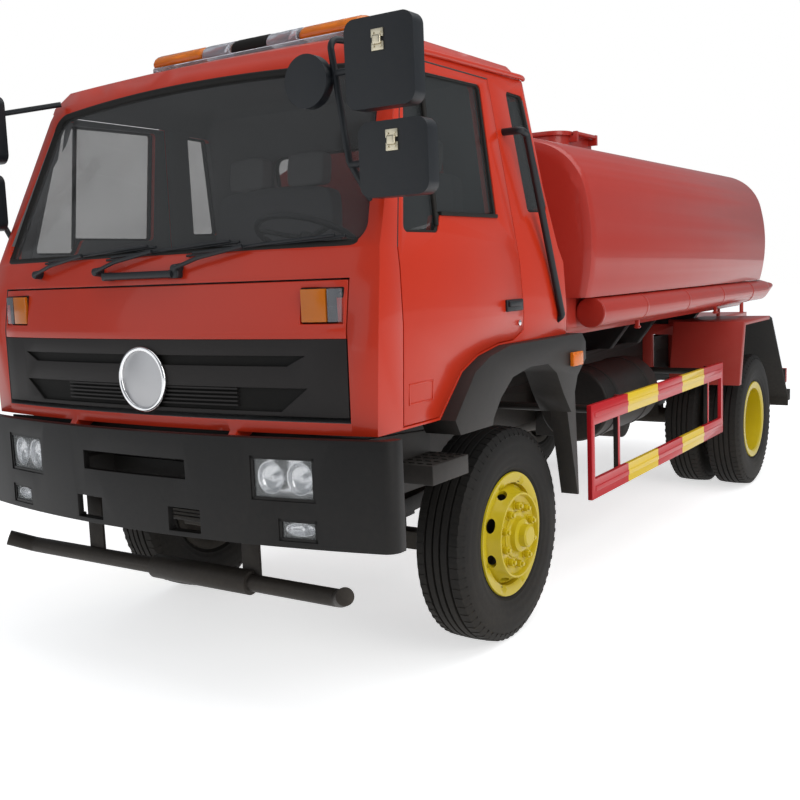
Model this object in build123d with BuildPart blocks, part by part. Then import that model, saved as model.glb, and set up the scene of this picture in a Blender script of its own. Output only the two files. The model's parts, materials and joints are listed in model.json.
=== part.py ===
from build123d import *
import os
from math import asin, cos, sin

os.makedirs("parts", exist_ok=True)

# A two-axle cab-over water tanker. The nose points along -Y, the left side is +X and up is +Z.
# Stations along the truck are measured from the front axle, heights from the ground.

# Driving sizes, in millimetres
wheelbase = 3950.0
front_overhang = 1355.0
rail_top = 1050.0
rail_height = 250.0
rail_outer = 430.0
rail_flange = 75.0
rail_wall = 8.0

tyre_radius = 514.0
tyre_width = 268.0
seat_radius = 254.0
front_wheel_x = 967.0
rear_wheel_x = 929.0
twin_spacing = 320.0

cab_floor_z = 1165.0
cab_crease_z = 1568.0
cab_belt_z = 1790.0
cab_screen_z = 1870.0
cab_eaves_z = 2650.0
cab_crown_z = 2725.0
cab_top_z = 2768.0
cab_half_width = 1148.0
cab_front = -1250.0
cab_back = 575.0
cab_bow = 100.0
cab_wall = 55.0
seat_floor_z = 1432.0

tank_front = 821.0
tank_length = 3642.0
tank_half_width = 1170.0
tank_bottom_z = 1390.0
tank_shoulder_z = 2166.0
tank_top_z = 2575.0
tail_length = 982.0
rear_overhang = tank_front + tank_length + tail_length - wheelbase

guard_x = 1197.0
fender_x = 1235.0

# Clearances shared by many pieces
seat_gap = 0.3
panel_gap = 7.0
run_gap = 5.0
pin_gap = 0.05
over = 20.0

front_axle_y = front_overhang - (front_overhang + wheelbase + rear_overhang) / 2
rear_axle = wheelbase
rail_bottom = rail_top - rail_height
both_sides = (("left", 1), ("right", -1))


def station(y):
    """The place along the truck of a point measured from the front axle."""
    return front_axle_y + y


def block(x0, x1, y0, y1, z0, z1, mode=Mode.ADD):
    """A block between two corners, its stations measured from the front axle."""
    with Locations(((x0 + x1) / 2, station((y0 + y1) / 2), (z0 + z1) / 2)):
        Box(abs(x1 - x0), abs(y1 - y0), abs(z1 - z0), mode=mode)


def across(points, x0, x1, mode=Mode.ADD):
    """A side outline of (station, height) points, carried across from x0 to x1."""
    with BuildSketch(Plane.YZ.offset(x0)) as outline:
        with BuildLine():
            Polyline(*[(station(y), z) for y, z in points], close=True)
        make_face()
    extrude(outline.sketch, amount=x1 - x0, mode=mode)


def along(points, y0, y1, mode=Mode.ADD):
    """A front outline of (x, height) points, carried along from station y0 to y1."""
    with BuildSketch(Plane.XZ.offset(-station(y0))) as outline:
        with BuildLine():
            Polyline(*points, close=True)
        make_face()
    extrude(outline.sketch, amount=y0 - y1, mode=mode)


def upward(points, z0, z1, mode=Mode.ADD):
    """A plan outline of (x, station) points, carried up from z0 to z1."""
    with BuildSketch(Plane.XY.offset(z0)) as outline:
        with BuildLine():
            Polyline(*[(x, station(y)) for x, y in points], close=True)
        make_face()
    extrude(outline.sketch, amount=z1 - z0, mode=mode)


def pipe(points, radius, bend=0.0, mode=Mode.ADD):
    """A round bar along straight runs of (x, station, height) points, its corners bent."""
    route = [(x, station(y), z) for x, y, z in points]
    with BuildLine() as centre:
        if len(route) == 2:
            Line(*route)
        else:
            FilletPolyline(*route, radius=bend)
    with BuildSketch(Plane(origin=centre.line @ 0, z_dir=centre.line % 0)) as section:
        Circle(radius)
    sweep(section.sketch, path=centre.line, mode=mode)


def axle_disc(x0, x1, y, z, radius, mode=Mode.ADD):
    """A round piece whose axis runs across the truck."""
    with BuildSketch(Plane.YZ.offset(x0)) as section:
        with Locations((station(y), z)):
            Circle(radius)
    extrude(section.sketch, amount=x1 - x0, mode=mode)


def upright_disc(x, y, z0, z1, radius, mode=Mode.ADD):
    """A round piece whose axis is upright."""
    with BuildSketch(Plane.XY.offset(z0)) as section:
        with Locations((x, station(y))):
            Circle(radius)
    extrude(section.sketch, amount=z1 - z0, mode=mode)


# Front bumper: a deep pressed channel bowed in plan, its ends wrapped back
bumper_half = 1221.0
bumper_bow = 150.0
bumper_end = -1129.0
bumper_bottom = 735.0
bumper_top = 1160.0
bumper_wall = 30.0
bumper_flange = 42.0
bumper_corner = 60.0
slot_half = 305.0
slot_bottom = 975.0
slot_top = 1057.0
tow_inner = 200.0
tow_outer = 370.0
tow_bottom = 755.0
tow_top = 855.0
lamp_inner = 629.0
lamp_outer = 911.0
lamp_bottom = 916.0
lamp_top = 1090.0
fog_inner = 745.0
fog_outer = 913.0
fog_bottom = 760.0
fog_top = 848.0
lamp_depth = 110.0


def bumper_front(x):
    """The station of the bumper's bowed face at a place across the truck."""
    return -front_overhang + bumper_bow * (x / bumper_half) ** 2


# Chassis frame: two channel rails, cross-members, cab pivot ears and the rear cab rest
rail_front = -1180.0
rail_set_back = 115.0
rail_rear = wheelbase + rear_overhang - rail_set_back
member_height = 140.0
member_depth = 70.0
tail_member = 80.0
pump_member = 680.0
front_members = (-1100.0, 1050.0, 2300.0, 3250.0)
member_stations = front_members + (rail_rear - pump_member, rail_rear - tail_member)
pivot_y = -1250.0
pivot_z = 1105.0
pivot_radius = 20.0
pivot_boss = 28.0
ear_wall = 30.0
lug_wall = 38.0
lug_gap = 1.0
rest_y = 500.0
rest_depth = 90.0
rest_height = 60.0
rest_post_x = 300.0
rest_post_half = 50.0
rest_gap = 1.0
bracket_low = 880.0
bracket_high = 1010.0

with BuildPart() as chassis_frame:
    for side in (1, -1):
        outline = (
            (side * rail_outer, rail_bottom),
            (side * (rail_outer - rail_flange), rail_bottom),
            (side * (rail_outer - rail_flange), rail_bottom + rail_wall),
            (side * (rail_outer - rail_wall), rail_bottom + rail_wall),
            (side * (rail_outer - rail_wall), rail_top - rail_wall),
            (side * (rail_outer - rail_flange), rail_top - rail_wall),
            (side * (rail_outer - rail_flange), rail_top),
            (side * rail_outer, rail_top),
        )
        along(outline, rail_front, rail_rear)
    member_z = (rail_top + rail_bottom) / 2
    for y in member_stations:
        block(
            rail_wall - rail_outer,
            rail_outer - rail_wall,
            y - member_depth / 2,
            y + member_depth / 2,
            member_z - member_height / 2,
            member_z + member_height / 2,
        )
    for side in (1, -1):
        ear = (
            (rail_front + 2 * member_depth, rail_top),
            (rail_front + 2 * member_depth, rail_bottom),
            (rail_front, rail_bottom),
            (pivot_y - pivot_boss, pivot_z - pivot_boss),
            (pivot_y - pivot_boss, pivot_z),
            (pivot_y, pivot_z + pivot_boss),
            (pivot_y + pivot_boss, pivot_z),
        )
        across(ear, side * rail_outer, side * (rail_outer + ear_wall))
        pin_end = rail_outer + ear_wall + lug_gap + lug_wall + lug_gap
        axle_disc(side * rail_outer, side * pin_end, pivot_y, pivot_z, pivot_radius)
        bracket_front = bumper_front(rail_outer + ear_wall) + bumper_wall + seat_gap
        block(
            side * (rail_outer - rail_flange),
            side * (rail_outer + ear_wall),
            bracket_front,
            rail_front + member_depth,
            bracket_low,
            bracket_high,
        )
        block(
            side * (rest_post_x - rest_post_half),
            side * (rest_post_x + rest_post_half),
            rest_y - rest_depth / 2,
            rest_y + rest_depth / 2,
            rail_top,
            seat_floor_z - rest_gap,
        )
    block(
        -rail_outer,
        rail_outer,
        rest_y - rest_depth / 2,
        rest_y + rest_depth / 2,
        rail_top,
        rail_top + rest_height,
    )
chassis_frame.part.label = "chassis_frame"
export_step(chassis_frame.part, "parts/chassis_frame.step")

# Tank cradle: two sills on the rails with saddles up to the tank's flat bottom
sill_width = 80.0
sill_height = 120.0
sill_lead = 60.0
sill_front = tank_front - sill_lead
sill_rear = tank_front + tank_length
saddle_stations = (1000.0, 1850.0, 2700.0, 3250.0, 4330.0)
saddle_half = 690.0
saddle_foot = 520.0
saddle_wall = 70.0

with BuildPart() as tank_cradle:
    sill_top = rail_top + sill_height
    for side in (1, -1):
        block(
            side * (rail_outer - sill_width),
            side * rail_outer,
            sill_front,
            sill_rear,
            rail_top,
            sill_top,
        )
    for y in saddle_stations:
        saddle = (
            (-saddle_foot, sill_top),
            (saddle_foot, sill_top),
            (saddle_half, tank_bottom_z),
            (-saddle_half, tank_bottom_z),
        )
        along(saddle, y - saddle_wall / 2, y + saddle_wall / 2)
tank_cradle.part.label = "tank_cradle"
export_step(tank_cradle.part, "parts/tank_cradle.step")

def bumper_plan(inset, back):
    """The bumper's plan, a bowed front with straight returns, moved in by an inset."""
    half = bumper_half - inset
    corner_y = station(bumper_front(half) + inset)
    with BuildLine() as outline:
        ThreePointArc((-half, corner_y), (0, station(bumper_front(0) + inset)), (half, corner_y))
        Polyline((half, corner_y), (half, station(back)), (-half, station(back)), (-half, corner_y))
    make_face(outline.edges())
    corners = [v for v in outline.vertices() if abs(v.Y - corner_y) < seat_gap]
    fillet(corners, bumper_corner)


with BuildPart() as front_bumper:
    with BuildSketch(Plane.XY.offset(bumper_bottom)):
        bumper_plan(0.0, bumper_end)
    extrude(amount=bumper_top - bumper_bottom)
    with BuildSketch(Plane.XY.offset(bumper_bottom + bumper_wall)):
        bumper_plan(bumper_wall, bumper_end + over)
    extrude(amount=bumper_top - bumper_bottom - 2 * bumper_wall, mode=Mode.SUBTRACT)
    with BuildSketch(Plane.XY.offset(bumper_bottom - over)):
        bumper_plan(bumper_flange, bumper_end + over)
    extrude(amount=bumper_top - bumper_bottom + 2 * over, mode=Mode.SUBTRACT)
    hole_front = -front_overhang - over
    hole_back = bumper_end - over
    block(-slot_half, slot_half, hole_front, hole_back, slot_bottom, slot_top, Mode.SUBTRACT)
    for side in (1, -1):
        openings = (
            (tow_inner, tow_outer, tow_bottom, tow_top),
            (lamp_inner, lamp_outer, lamp_bottom, lamp_top),
            (fog_inner, fog_outer, fog_bottom, fog_top),
        )
        for inner, outer, low, high in openings:
            block(side * inner, side * outer, hole_front, hole_back, low, high, Mode.SUBTRACT)
front_bumper.part.label = "front_bumper"
export_step(front_bumper.part, "parts/front_bumper.step")

# Headlamps and fog lamps: closed lamp bodies that fill the bumper's openings
with BuildPart() as headlamps:
    for side in (1, -1):
        bodies = (
            (lamp_inner, lamp_outer, lamp_bottom, lamp_top),
            (fog_inner, fog_outer, fog_bottom, fog_top),
        )
        for inner, outer, low, high in bodies:
            plan = (
                (side * (inner + seat_gap), bumper_front(inner) + bumper_wall / 2),
                (side * (outer - seat_gap), bumper_front(outer) + bumper_wall / 2),
                (side * (outer - seat_gap), bumper_front(outer) + lamp_depth),
                (side * (inner + seat_gap), bumper_front(outer) + lamp_depth),
            )
            upward(plan, low + seat_gap, high - seat_gap)
headlamps.part.label = "headlamps"
export_step(headlamps.part, "parts/headlamps.step")

# Front spray bar: a water pipe on two hangers, its ends turned forward into nozzles
bar_y = -1167.0
bar_z = 517.0
bar_half = 930.0
bar_radius = 36.0
sleeve_radius = 52.0
sleeve_left = 470.0
sleeve_right = -90.0
nozzle_reach = 85.0
nozzle_rise = 45.0
nozzle_bend = 60.0
hanger_x = (455.0, -500.0)
hanger_width = 96.0
hanger_wall = 12.0

with BuildPart() as spray_bar:
    pipe(
        (
            (-bar_half - nozzle_reach, bar_y - nozzle_reach, bar_z + nozzle_rise),
            (-bar_half, bar_y, bar_z),
            (bar_half, bar_y, bar_z),
            (bar_half + nozzle_reach, bar_y - nozzle_reach, bar_z + nozzle_rise),
        ),
        bar_radius,
        nozzle_bend,
    )
    axle_disc(sleeve_right, sleeve_left, bar_y, bar_z, sleeve_radius)
    for x in hanger_x:
        block(
            x - hanger_width / 2,
            x + hanger_width / 2,
            bar_y + bar_radius / 2,
            bar_y + bar_radius / 2 + hanger_wall,
            bar_z,
            rail_bottom - seat_gap,
        )
spray_bar.part.label = "spray_bar"
export_step(spray_bar.part, "parts/spray_bar.step")

# Engine, gearbox and propeller shaft
engine_half = 320.0
engine_front = -760.0
engine_rear = 330.0
engine_bottom = 590.0
engine_top = 1120.0
gearbox_half = 190.0
gearbox_rear = 900.0
gearbox_bottom = 600.0
gearbox_top = 930.0
shaft_radius = 52.0
shaft_front_z = 740.0
shaft_rear_z = 560.0
diff_reach = 330.0
mount_stations = (-560.0, 120.0)
mount_width = 80.0
mount_low = 830.0
mount_high = 900.0

with BuildPart() as driveline:
    block(-engine_half, engine_half, engine_front, engine_rear, engine_bottom, engine_top)
    gearbox = (
        (engine_rear, engine_bottom),
        (engine_rear, engine_top),
        (engine_rear + gearbox_half, gearbox_top),
        (gearbox_rear, gearbox_top - shaft_radius),
        (gearbox_rear, gearbox_bottom + shaft_radius),
        (engine_rear + gearbox_half, gearbox_bottom),
    )
    across(gearbox, -gearbox_half, gearbox_half)
    pipe(
        ((0.0, gearbox_rear - shaft_radius, shaft_front_z), (0.0, rear_axle - diff_reach, shaft_rear_z)),
        shaft_radius,
    )
    for y in mount_stations:
        block(
            rail_wall - rail_outer,
            rail_outer - rail_wall,
            y - mount_width / 2,
            y + mount_width / 2,
            mount_low,
            mount_high,
        )
driveline.part.label = "driveline"
export_step(driveline.part, "parts/driveline.step")

# Front axle: a dropped beam with kingpin bosses and their pins
kingpin_x = 850.0
kingpin_radius = 20.0
boss_radius = 48.0
boss_half = 62.0
ear_thick = 40.0
ear_play = 0.5
beam_half = 45.0
beam_drop_x = 560.0
beam_bottom = 385.0
beam_top = 475.0
spring_x = 415.0
spring_width = 75.0
pad_top = 520.0

with BuildPart() as front_axle:
    beam_end = kingpin_x - boss_radius - over / 2
    beam = (
        (-kingpin_x, tyre_radius - boss_half),
        (-beam_end, tyre_radius - boss_half),
        (-beam_drop_x, beam_bottom),
        (beam_drop_x, beam_bottom),
        (beam_end, tyre_radius - boss_half),
        (kingpin_x, tyre_radius - boss_half),
        (kingpin_x, tyre_radius + boss_half / 2),
        (beam_drop_x, beam_top),
        (-beam_drop_x, beam_top),
        (-kingpin_x, tyre_radius + boss_half / 2),
    )
    along(beam, -beam_half, beam_half)
    pin_low = tyre_radius - boss_half - ear_thick
    pin_high = tyre_radius + boss_half + ear_thick
    for side in (1, -1):
        upright_disc(side * kingpin_x, 0.0, tyre_radius - boss_half, tyre_radius + boss_half, boss_radius)
        upright_disc(side * kingpin_x, 0.0, pin_low, pin_high, kingpin_radius)
        block(
            side * (spring_x - spring_width / 2),
            side * (spring_x + spring_width / 2),
            -beam_half,
            beam_half,
            beam_bottom,
            pad_top,
        )
front_axle.part.label = "front_axle"
export_step(front_axle.part, "parts/front_axle.step")

# Rear axle: a banjo casing with spring pads
casing_radius = 62.0
casing_half = 640.0
drum_outer = 820.0
brake_radius = 205.0
spindle_radius = 50.0
spindle_end = 1050.0
banjo_radius = 205.0
banjo_half = 120.0
rear_pad_top = 600.0

with BuildPart() as rear_axle_casing:
    axle_disc(-casing_half, casing_half, rear_axle, tyre_radius, casing_radius)
    axle_disc(-banjo_half, banjo_half, rear_axle, tyre_radius, banjo_radius)
    with BuildSketch(Plane.XZ.offset(-station(rear_axle))):
        with Locations((0, shaft_rear_z)):
            Circle(shaft_radius + banjo_half / 2)
    extrude(amount=diff_reach - run_gap)
    for side in (1, -1):
        axle_disc(side * casing_half, side * drum_outer, rear_axle, tyre_radius, brake_radius)
        axle_disc(side * drum_outer, side * spindle_end, rear_axle, tyre_radius, spindle_radius)
        block(
            side * (spring_x - spring_width / 2),
            side * (spring_x + spring_width / 2),
            rear_axle - casing_radius,
            rear_axle + casing_radius,
            tyre_radius,
            rear_pad_top,
        )
rear_axle_casing.part.label = "rear_axle"
export_step(rear_axle_casing.part, "parts/rear_axle.step")

# Leaf springs: bowed packs on the axle pads, hung from the rails by brackets
leaf_thick = 16.0
eye_radius = 30.0
bracket_wall = 14.0
springs = (
    # station, pad height, half span, eye height, leaves
    (0.0, pad_top, 720.0, 725.0, 6),
    (rear_axle, rear_pad_top, 780.0, 735.0, 8),
)

with BuildPart() as leaf_springs:
    for centre, pad, span, eye, leaves in springs:
        sag = eye - (pad + leaves * leaf_thick)
        bow_radius = (span**2 + sag**2) / (2 * sag)
        bow_z = pad + leaves * leaf_thick + bow_radius
        full_angle = asin(span / bow_radius)
        for side in (1, -1):
            inner = side * (spring_x - spring_width / 2)
            outer = side * (spring_x + spring_width / 2)
            with BuildSketch(Plane.YZ.offset(inner)):
                for leaf in range(leaves):
                    angle = full_angle * (leaves - leaf) / leaves
                    with BuildLine():
                        arcs = []
                        for radius in (bow_radius + leaf * leaf_thick, bow_radius + (leaf + 1) * leaf_thick):
                            end_y = radius * sin(angle)
                            end_z = bow_z - radius * cos(angle)
                            arcs.append(
                                ThreePointArc(
                                    (station(centre - end_y), end_z),
                                    (station(centre), bow_z - radius),
                                    (station(centre + end_y), end_z),
                                )
                            )
                        Line(arcs[0] @ 0, arcs[1] @ 0)
                        Line(arcs[0] @ 1, arcs[1] @ 1)
                    make_face()
            extrude(amount=outer - inner)
            for end in (-1, 1):
                axle_disc(inner, outer, centre + end * span, eye, eye_radius)
                hook = (
                    (centre + end * (span + eye_radius), eye),
                    (centre + end * (span - eye_radius), eye),
                    (centre + end * (span - 3 * eye_radius), rail_bottom),
                    (centre + end * (span - eye_radius), rail_bottom),
                )
                across(hook, outer, outer + side * bracket_wall)
                across(hook, inner, inner - side * bracket_wall)
leaf_springs.part.label = "leaf_springs"
export_step(leaf_springs.part, "parts/leaf_springs.step")

# Fuel tank and air reservoirs: drums strapped beside the rails
drum_front = 1466.0
drum_length = 900.0
drum_radius = 225.0
drum_x = 760.0
drum_z = 930.0
strap_width = 50.0
strap_wall = 5.0
reservoir_radius = 130.0
reservoir_x = -760.0
reservoir_z = 880.0
reservoir_front = 1150.0
reservoir_length = 620.0
reservoir_pitch = 700.0
reservoir_count = 2
dome = 40.0

strap_shares = (0.2, 0.8)

with BuildPart() as fuel_tank:
    with BuildSketch(Plane.XZ.offset(-station(drum_front))):
        with Locations((drum_x, drum_z)):
            Circle(drum_radius)
    extrude(amount=-drum_length)
    fillet(fuel_tank.edges(), dome / 2)
    for share in strap_shares:
        y = drum_front + share * drum_length
        with BuildSketch(Plane.XZ.offset(-station(y - strap_width / 2))):
            with Locations((drum_x, drum_z)):
                Circle(drum_radius + strap_wall)
        extrude(amount=-strap_width)
        block(
            rail_outer,
            drum_x,
            y - strap_width / 2,
            y + strap_width / 2,
            drum_z - drum_radius,
            drum_z + drum_radius / 2,
        )
fuel_tank.part.label = "fuel_tank"
export_step(fuel_tank.part, "parts/fuel_tank.step")

with BuildPart() as air_reservoirs:
    for index in range(reservoir_count):
        front = reservoir_front + index * reservoir_pitch
        with BuildSketch(Plane.XZ.offset(-station(front))):
            with Locations((reservoir_x, reservoir_z)):
                Circle(reservoir_radius)
        extrude(amount=-reservoir_length)
        middle = front + reservoir_length / 2
        block(
            -rail_outer,
            reservoir_x,
            middle - strap_width / 2,
            middle + strap_width / 2,
            reservoir_z - reservoir_radius / 2,
            reservoir_z + reservoir_radius / 2,
        )
air_reservoirs.part.label = "air_reservoirs"
export_step(air_reservoirs.part, "parts/air_reservoirs.step")

# Side guards: a painted frame of two profiled boards and four posts on each side
guard_front = 706.0
guard_rear = 3119.0
guard_low = 537.0
guard_high = 1043.0
board_height = 108.0
board_wall = 26.0
post_width = 30.0
end_post = 45.0
post_stations = (1163.0, 2852.0)
stay_radius = 22.0
stay_stations = (950.0, 2990.0)

with BuildPart() as side_guards:
    for side in (1, -1):
        face = side * guard_x
        back = side * (guard_x - board_wall)
        for low in (guard_low, guard_high - board_height):
            block(back, face, guard_front, guard_rear, low, low + board_height)
        for y in (guard_front, guard_rear - end_post):
            block(back, face, y, y + end_post, guard_low, guard_high)
        for y in post_stations:
            block(back, back - side * post_width, y - post_width / 2, y + post_width / 2, guard_low, guard_high)
        for y in stay_stations:
            pipe(
                (
                    (back, y, guard_high - board_height / 2),
                    (side * rail_outer, y, guard_high - board_height / 2),
                ),
                stay_radius,
            )
side_guards.part.label = "side_guards"
export_step(side_guards.part, "parts/side_guards.step")

# Cab steps: a ribbed tread on each side with its hanger and the dark apron above it
step_front = -881.0
step_rear = -596.0
step_top = 1010.0
step_bottom = 930.0
step_inner = 1010.0
step_outer = 1195.0
apron_front = -1060.0
apron_rear = -590.0
apron_top = 1135.0
apron_wall = 20.0
arm_height = 60.0

with BuildPart() as cab_steps:
    for side in (1, -1):
        block(side * step_inner, side * step_outer, step_front, step_rear, step_bottom, step_top)
        apron = (
            (apron_front, apron_top),
            (apron_rear, apron_top - arm_height / 2),
            (apron_rear, step_bottom - arm_height),
            (step_front, step_bottom - arm_height),
        )
        across(apron, side * step_inner, side * (step_inner - apron_wall))
        block(
            side * rail_outer,
            side * (step_inner - apron_wall),
            step_front,
            step_front + arm_height,
            step_bottom - arm_height / 2,
            step_bottom + arm_height / 2,
        )
cab_steps.part.label = "cab_steps"
export_step(cab_steps.part, "parts/cab_steps.step")

# Rear mudguards: a flat top and a slanted front plate over each pair of rear wheels
fender_ahead = 545.0
fender_slope = 119.0
fender_behind = 357.0
fender_front = rear_axle - fender_ahead
fender_knee = fender_front + fender_slope
fender_rear = rear_axle + fender_behind
fender_low = 842.0
fender_top = 1310.0
fender_wall = 22.0
fender_inner = 700.0
fender_lip = 60.0
flap_run = 674.0
flap_low_y = fender_rear + flap_run
flap_low_z = 490.0
flap_wall = 16.0
fender_leg = 80.0

with BuildPart() as rear_fenders:
    for side in (1, -1):
        shell = (
            (fender_front, fender_low),
            (fender_knee, fender_top),
            (fender_rear, fender_top),
            (fender_rear, fender_top - fender_wall),
            (fender_knee + fender_wall, fender_top - fender_wall),
            (fender_front + fender_wall, fender_low),
        )
        across(shell, side * fender_inner, side * fender_x)
        lip = (
            (fender_front, fender_low),
            (fender_knee, fender_top),
            (fender_rear, fender_top),
            (fender_rear, fender_top - fender_lip / 2),
            (fender_knee + fender_lip, fender_top - fender_lip / 2),
            (fender_front + fender_lip, fender_low),
        )
        across(lip, side * (fender_x - fender_wall), side * fender_x)
        for y in (fender_knee + fender_leg, fender_rear - fender_leg):
            block(
                side * rail_outer,
                side * (fender_inner + over),
                y - fender_wall,
                y + fender_wall,
                fender_top - fender_leg - fender_wall,
                fender_top - fender_wall,
            )
            block(
                side * rail_outer,
                side * (rail_outer + fender_leg),
                y - fender_wall,
                y + fender_wall,
                rail_bottom + fender_leg,
                fender_top - fender_wall,
            )
rear_fenders.part.label = "rear_fenders"
export_step(rear_fenders.part, "parts/rear_fenders.step")

with BuildPart() as rear_flaps:
    for side in (1, -1):
        flap = (
            (fender_rear, fender_top),
            (fender_rear + fender_leg, fender_top - fender_wall),
            (flap_low_y, flap_low_z + fender_leg),
            (flap_low_y, flap_low_z),
            (flap_low_y - flap_wall, flap_low_z),
            (flap_low_y - flap_wall, flap_low_z + fender_leg),
            (fender_rear + fender_leg - flap_wall, fender_top - 2 * fender_wall),
            (fender_rear, fender_top - fender_wall),
        )
        across(flap, side * fender_inner, side * fender_x)
rear_flaps.part.label = "rear_flaps"
export_step(rear_flaps.part, "parts/rear_flaps.step")

# Water tank: a bowed barrel with rolled end rims and a manhole coaming
tank_crown_x = 870.0
tank_crown_z = 2446.0
tank_turn_x = 1048.0
tank_turn_z = 2342.0
tank_shoulder_x = 1138.0
tank_side_z = 1850.0
tank_skirt_x = 1130.0
tank_skirt_z = 1600.0
tank_notch_x = 1006.0
tank_notch_z = 1440.0
tank_foot_x = 960.0
rim_inset = 55.0
rim_length = 60.0
rim_shares = ((0.0, 1.0), (0.35, 0.25), (1.0, 0.0))
coaming_y = 2700.0
coaming_length = 620.0
coaming_half = 300.0
coaming_top = 2668.0
coaming_wall = 24.0
coaming_corner = 120.0
lid_thick = 30.0
lid_lap = 18.0
lid_hinge_radius = 14.0
lid_pin_radius = 6.0
hinge_gap = 1.0
hinge_width = 30.0
lid_hinge_x = coaming_half + lid_lap + 2 * lid_hinge_radius
lid_hinge_z = coaming_top + seat_gap + lid_thick / 2


def tank_section(inset):
    """The barrel's section, moved in by an inset: flat bottom, bowed sides, low crown."""
    top = tank_top_z - inset
    foot = (tank_foot_x - inset, tank_bottom_z + inset)
    notch = (tank_notch_x - inset, tank_notch_z + inset / 2)
    skirt = (tank_skirt_x - inset, tank_skirt_z)
    side = (tank_half_width - inset, tank_side_z)
    shoulder = (tank_shoulder_x - inset, tank_shoulder_z)
    turn = (tank_turn_x - inset, tank_turn_z - inset)
    crown = (tank_crown_x - inset, tank_crown_z - inset)
    with BuildLine() as outline:
        ThreePointArc((-crown[0], crown[1]), (0, top), crown)
        ThreePointArc(crown, turn, shoulder)
        ThreePointArc(shoulder, side, skirt)
        Polyline(
            skirt,
            (notch[0], skirt[1]),
            notch,
            foot,
            (-foot[0], foot[1]),
            (-notch[0], notch[1]),
            (-notch[0], skirt[1]),
            (-skirt[0], skirt[1]),
        )
        ThreePointArc((-skirt[0], skirt[1]), (-side[0], side[1]), (-shoulder[0], shoulder[1]))
        ThreePointArc((-shoulder[0], shoulder[1]), (-turn[0], turn[1]), (-crown[0], crown[1]))
    make_face(outline.edges())


with BuildPart() as tank:
    tank_rear = tank_front + tank_length
    for end, inward in ((tank_front, 1), (tank_rear, -1)):
        for (near, near_inset), (far, far_inset) in zip(rim_shares, rim_shares[1:]):
            with BuildSketch(Plane.XZ.offset(-station(end + inward * near * rim_length))):
                tank_section(near_inset * rim_inset)
            with BuildSketch(Plane.XZ.offset(-station(end + inward * far * rim_length))):
                tank_section(far_inset * rim_inset)
            loft(ruled=True)
    with BuildSketch(Plane.XZ.offset(-station(tank_front + rim_length))):
        tank_section(0.0)
    extrude(amount=2 * rim_length - tank_length)
    with BuildSketch(Plane.XY.offset(tank_top_z - coaming_corner)):
        with Locations((0, station(coaming_y))):
            RectangleRounded(2 * coaming_half, coaming_length, coaming_corner)
    extrude(amount=coaming_top - tank_top_z + coaming_corner)
    with BuildSketch(Plane.XY.offset(tank_top_z)):
        with Locations((0, station(coaming_y))):
            RectangleRounded(
                2 * (coaming_half - coaming_wall),
                coaming_length - 2 * coaming_wall,
                coaming_corner - coaming_wall,
            )
    extrude(amount=coaming_top - tank_top_z + over, mode=Mode.SUBTRACT)
    for end in (-1, 1):
        knuckle_y = coaming_y + end * (coaming_length / 4 + hinge_gap)
        block(
            coaming_half - coaming_wall,
            lid_hinge_x + lid_hinge_radius,
            knuckle_y,
            knuckle_y + end * hinge_width,
            coaming_top - 3 * lid_hinge_radius,
            coaming_top,
        )
        block(
            lid_hinge_x - lid_hinge_radius,
            lid_hinge_x + lid_hinge_radius,
            knuckle_y,
            knuckle_y + end * hinge_width,
            coaming_top - lid_hinge_radius,
            lid_hinge_z + lid_hinge_radius,
        )
    with BuildSketch(Plane.XZ.offset(-station(coaming_y - coaming_length / 4 - hinge_width))):
        with Locations((lid_hinge_x, lid_hinge_z)):
            Circle(lid_pin_radius)
    extrude(amount=-coaming_length / 2 - 2 * hinge_width)
tank.part.label = "tank"
export_step(tank.part, "parts/tank.step")

# Manhole lid, hinged on the left edge of the coaming
with BuildPart() as manhole_lid:
    with BuildSketch(Plane.XY.offset(coaming_top + seat_gap)):
        with Locations((0, station(coaming_y))):
            RectangleRounded(
                2 * (coaming_half + lid_lap), coaming_length + 2 * lid_lap, coaming_corner + lid_lap
            )
    extrude(amount=lid_thick)
    with BuildSketch(Plane.XZ.offset(-station(coaming_y - coaming_length / 4))):
        with Locations((lid_hinge_x, lid_hinge_z)):
            Circle(lid_hinge_radius)
    extrude(amount=-coaming_length / 2)
    block(
        coaming_half,
        lid_hinge_x,
        coaming_y - coaming_length / 4,
        coaming_y + coaming_length / 4,
        lid_hinge_z - lid_hinge_radius / 2,
        lid_hinge_z + lid_hinge_radius / 2,
    )
    with BuildSketch(Plane.XZ.offset(-station(coaming_y - coaming_length / 4 - over))):
        with Locations((lid_hinge_x, lid_hinge_z)):
            Circle(lid_pin_radius + pin_gap)
    extrude(amount=-coaming_length / 2 - 2 * over, mode=Mode.SUBTRACT)
manhole_lid.part.label = "manhole_lid"
export_step(manhole_lid.part, "parts/manhole_lid.step")

# Hose tubes: round lockers along the tank's foot, closed in front and tapered behind
tube_x = 1094.0
tube_z = 1515.0
tube_radius = 81.0
tube_front = 960.0
tube_rear = 4500.0
tube_tip = 4900.0
tube_tip_radius = 22.0
tube_stations = (1250.0, 2400.0, 3550.0, 4350.0)
tube_bracket = 60.0

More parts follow.
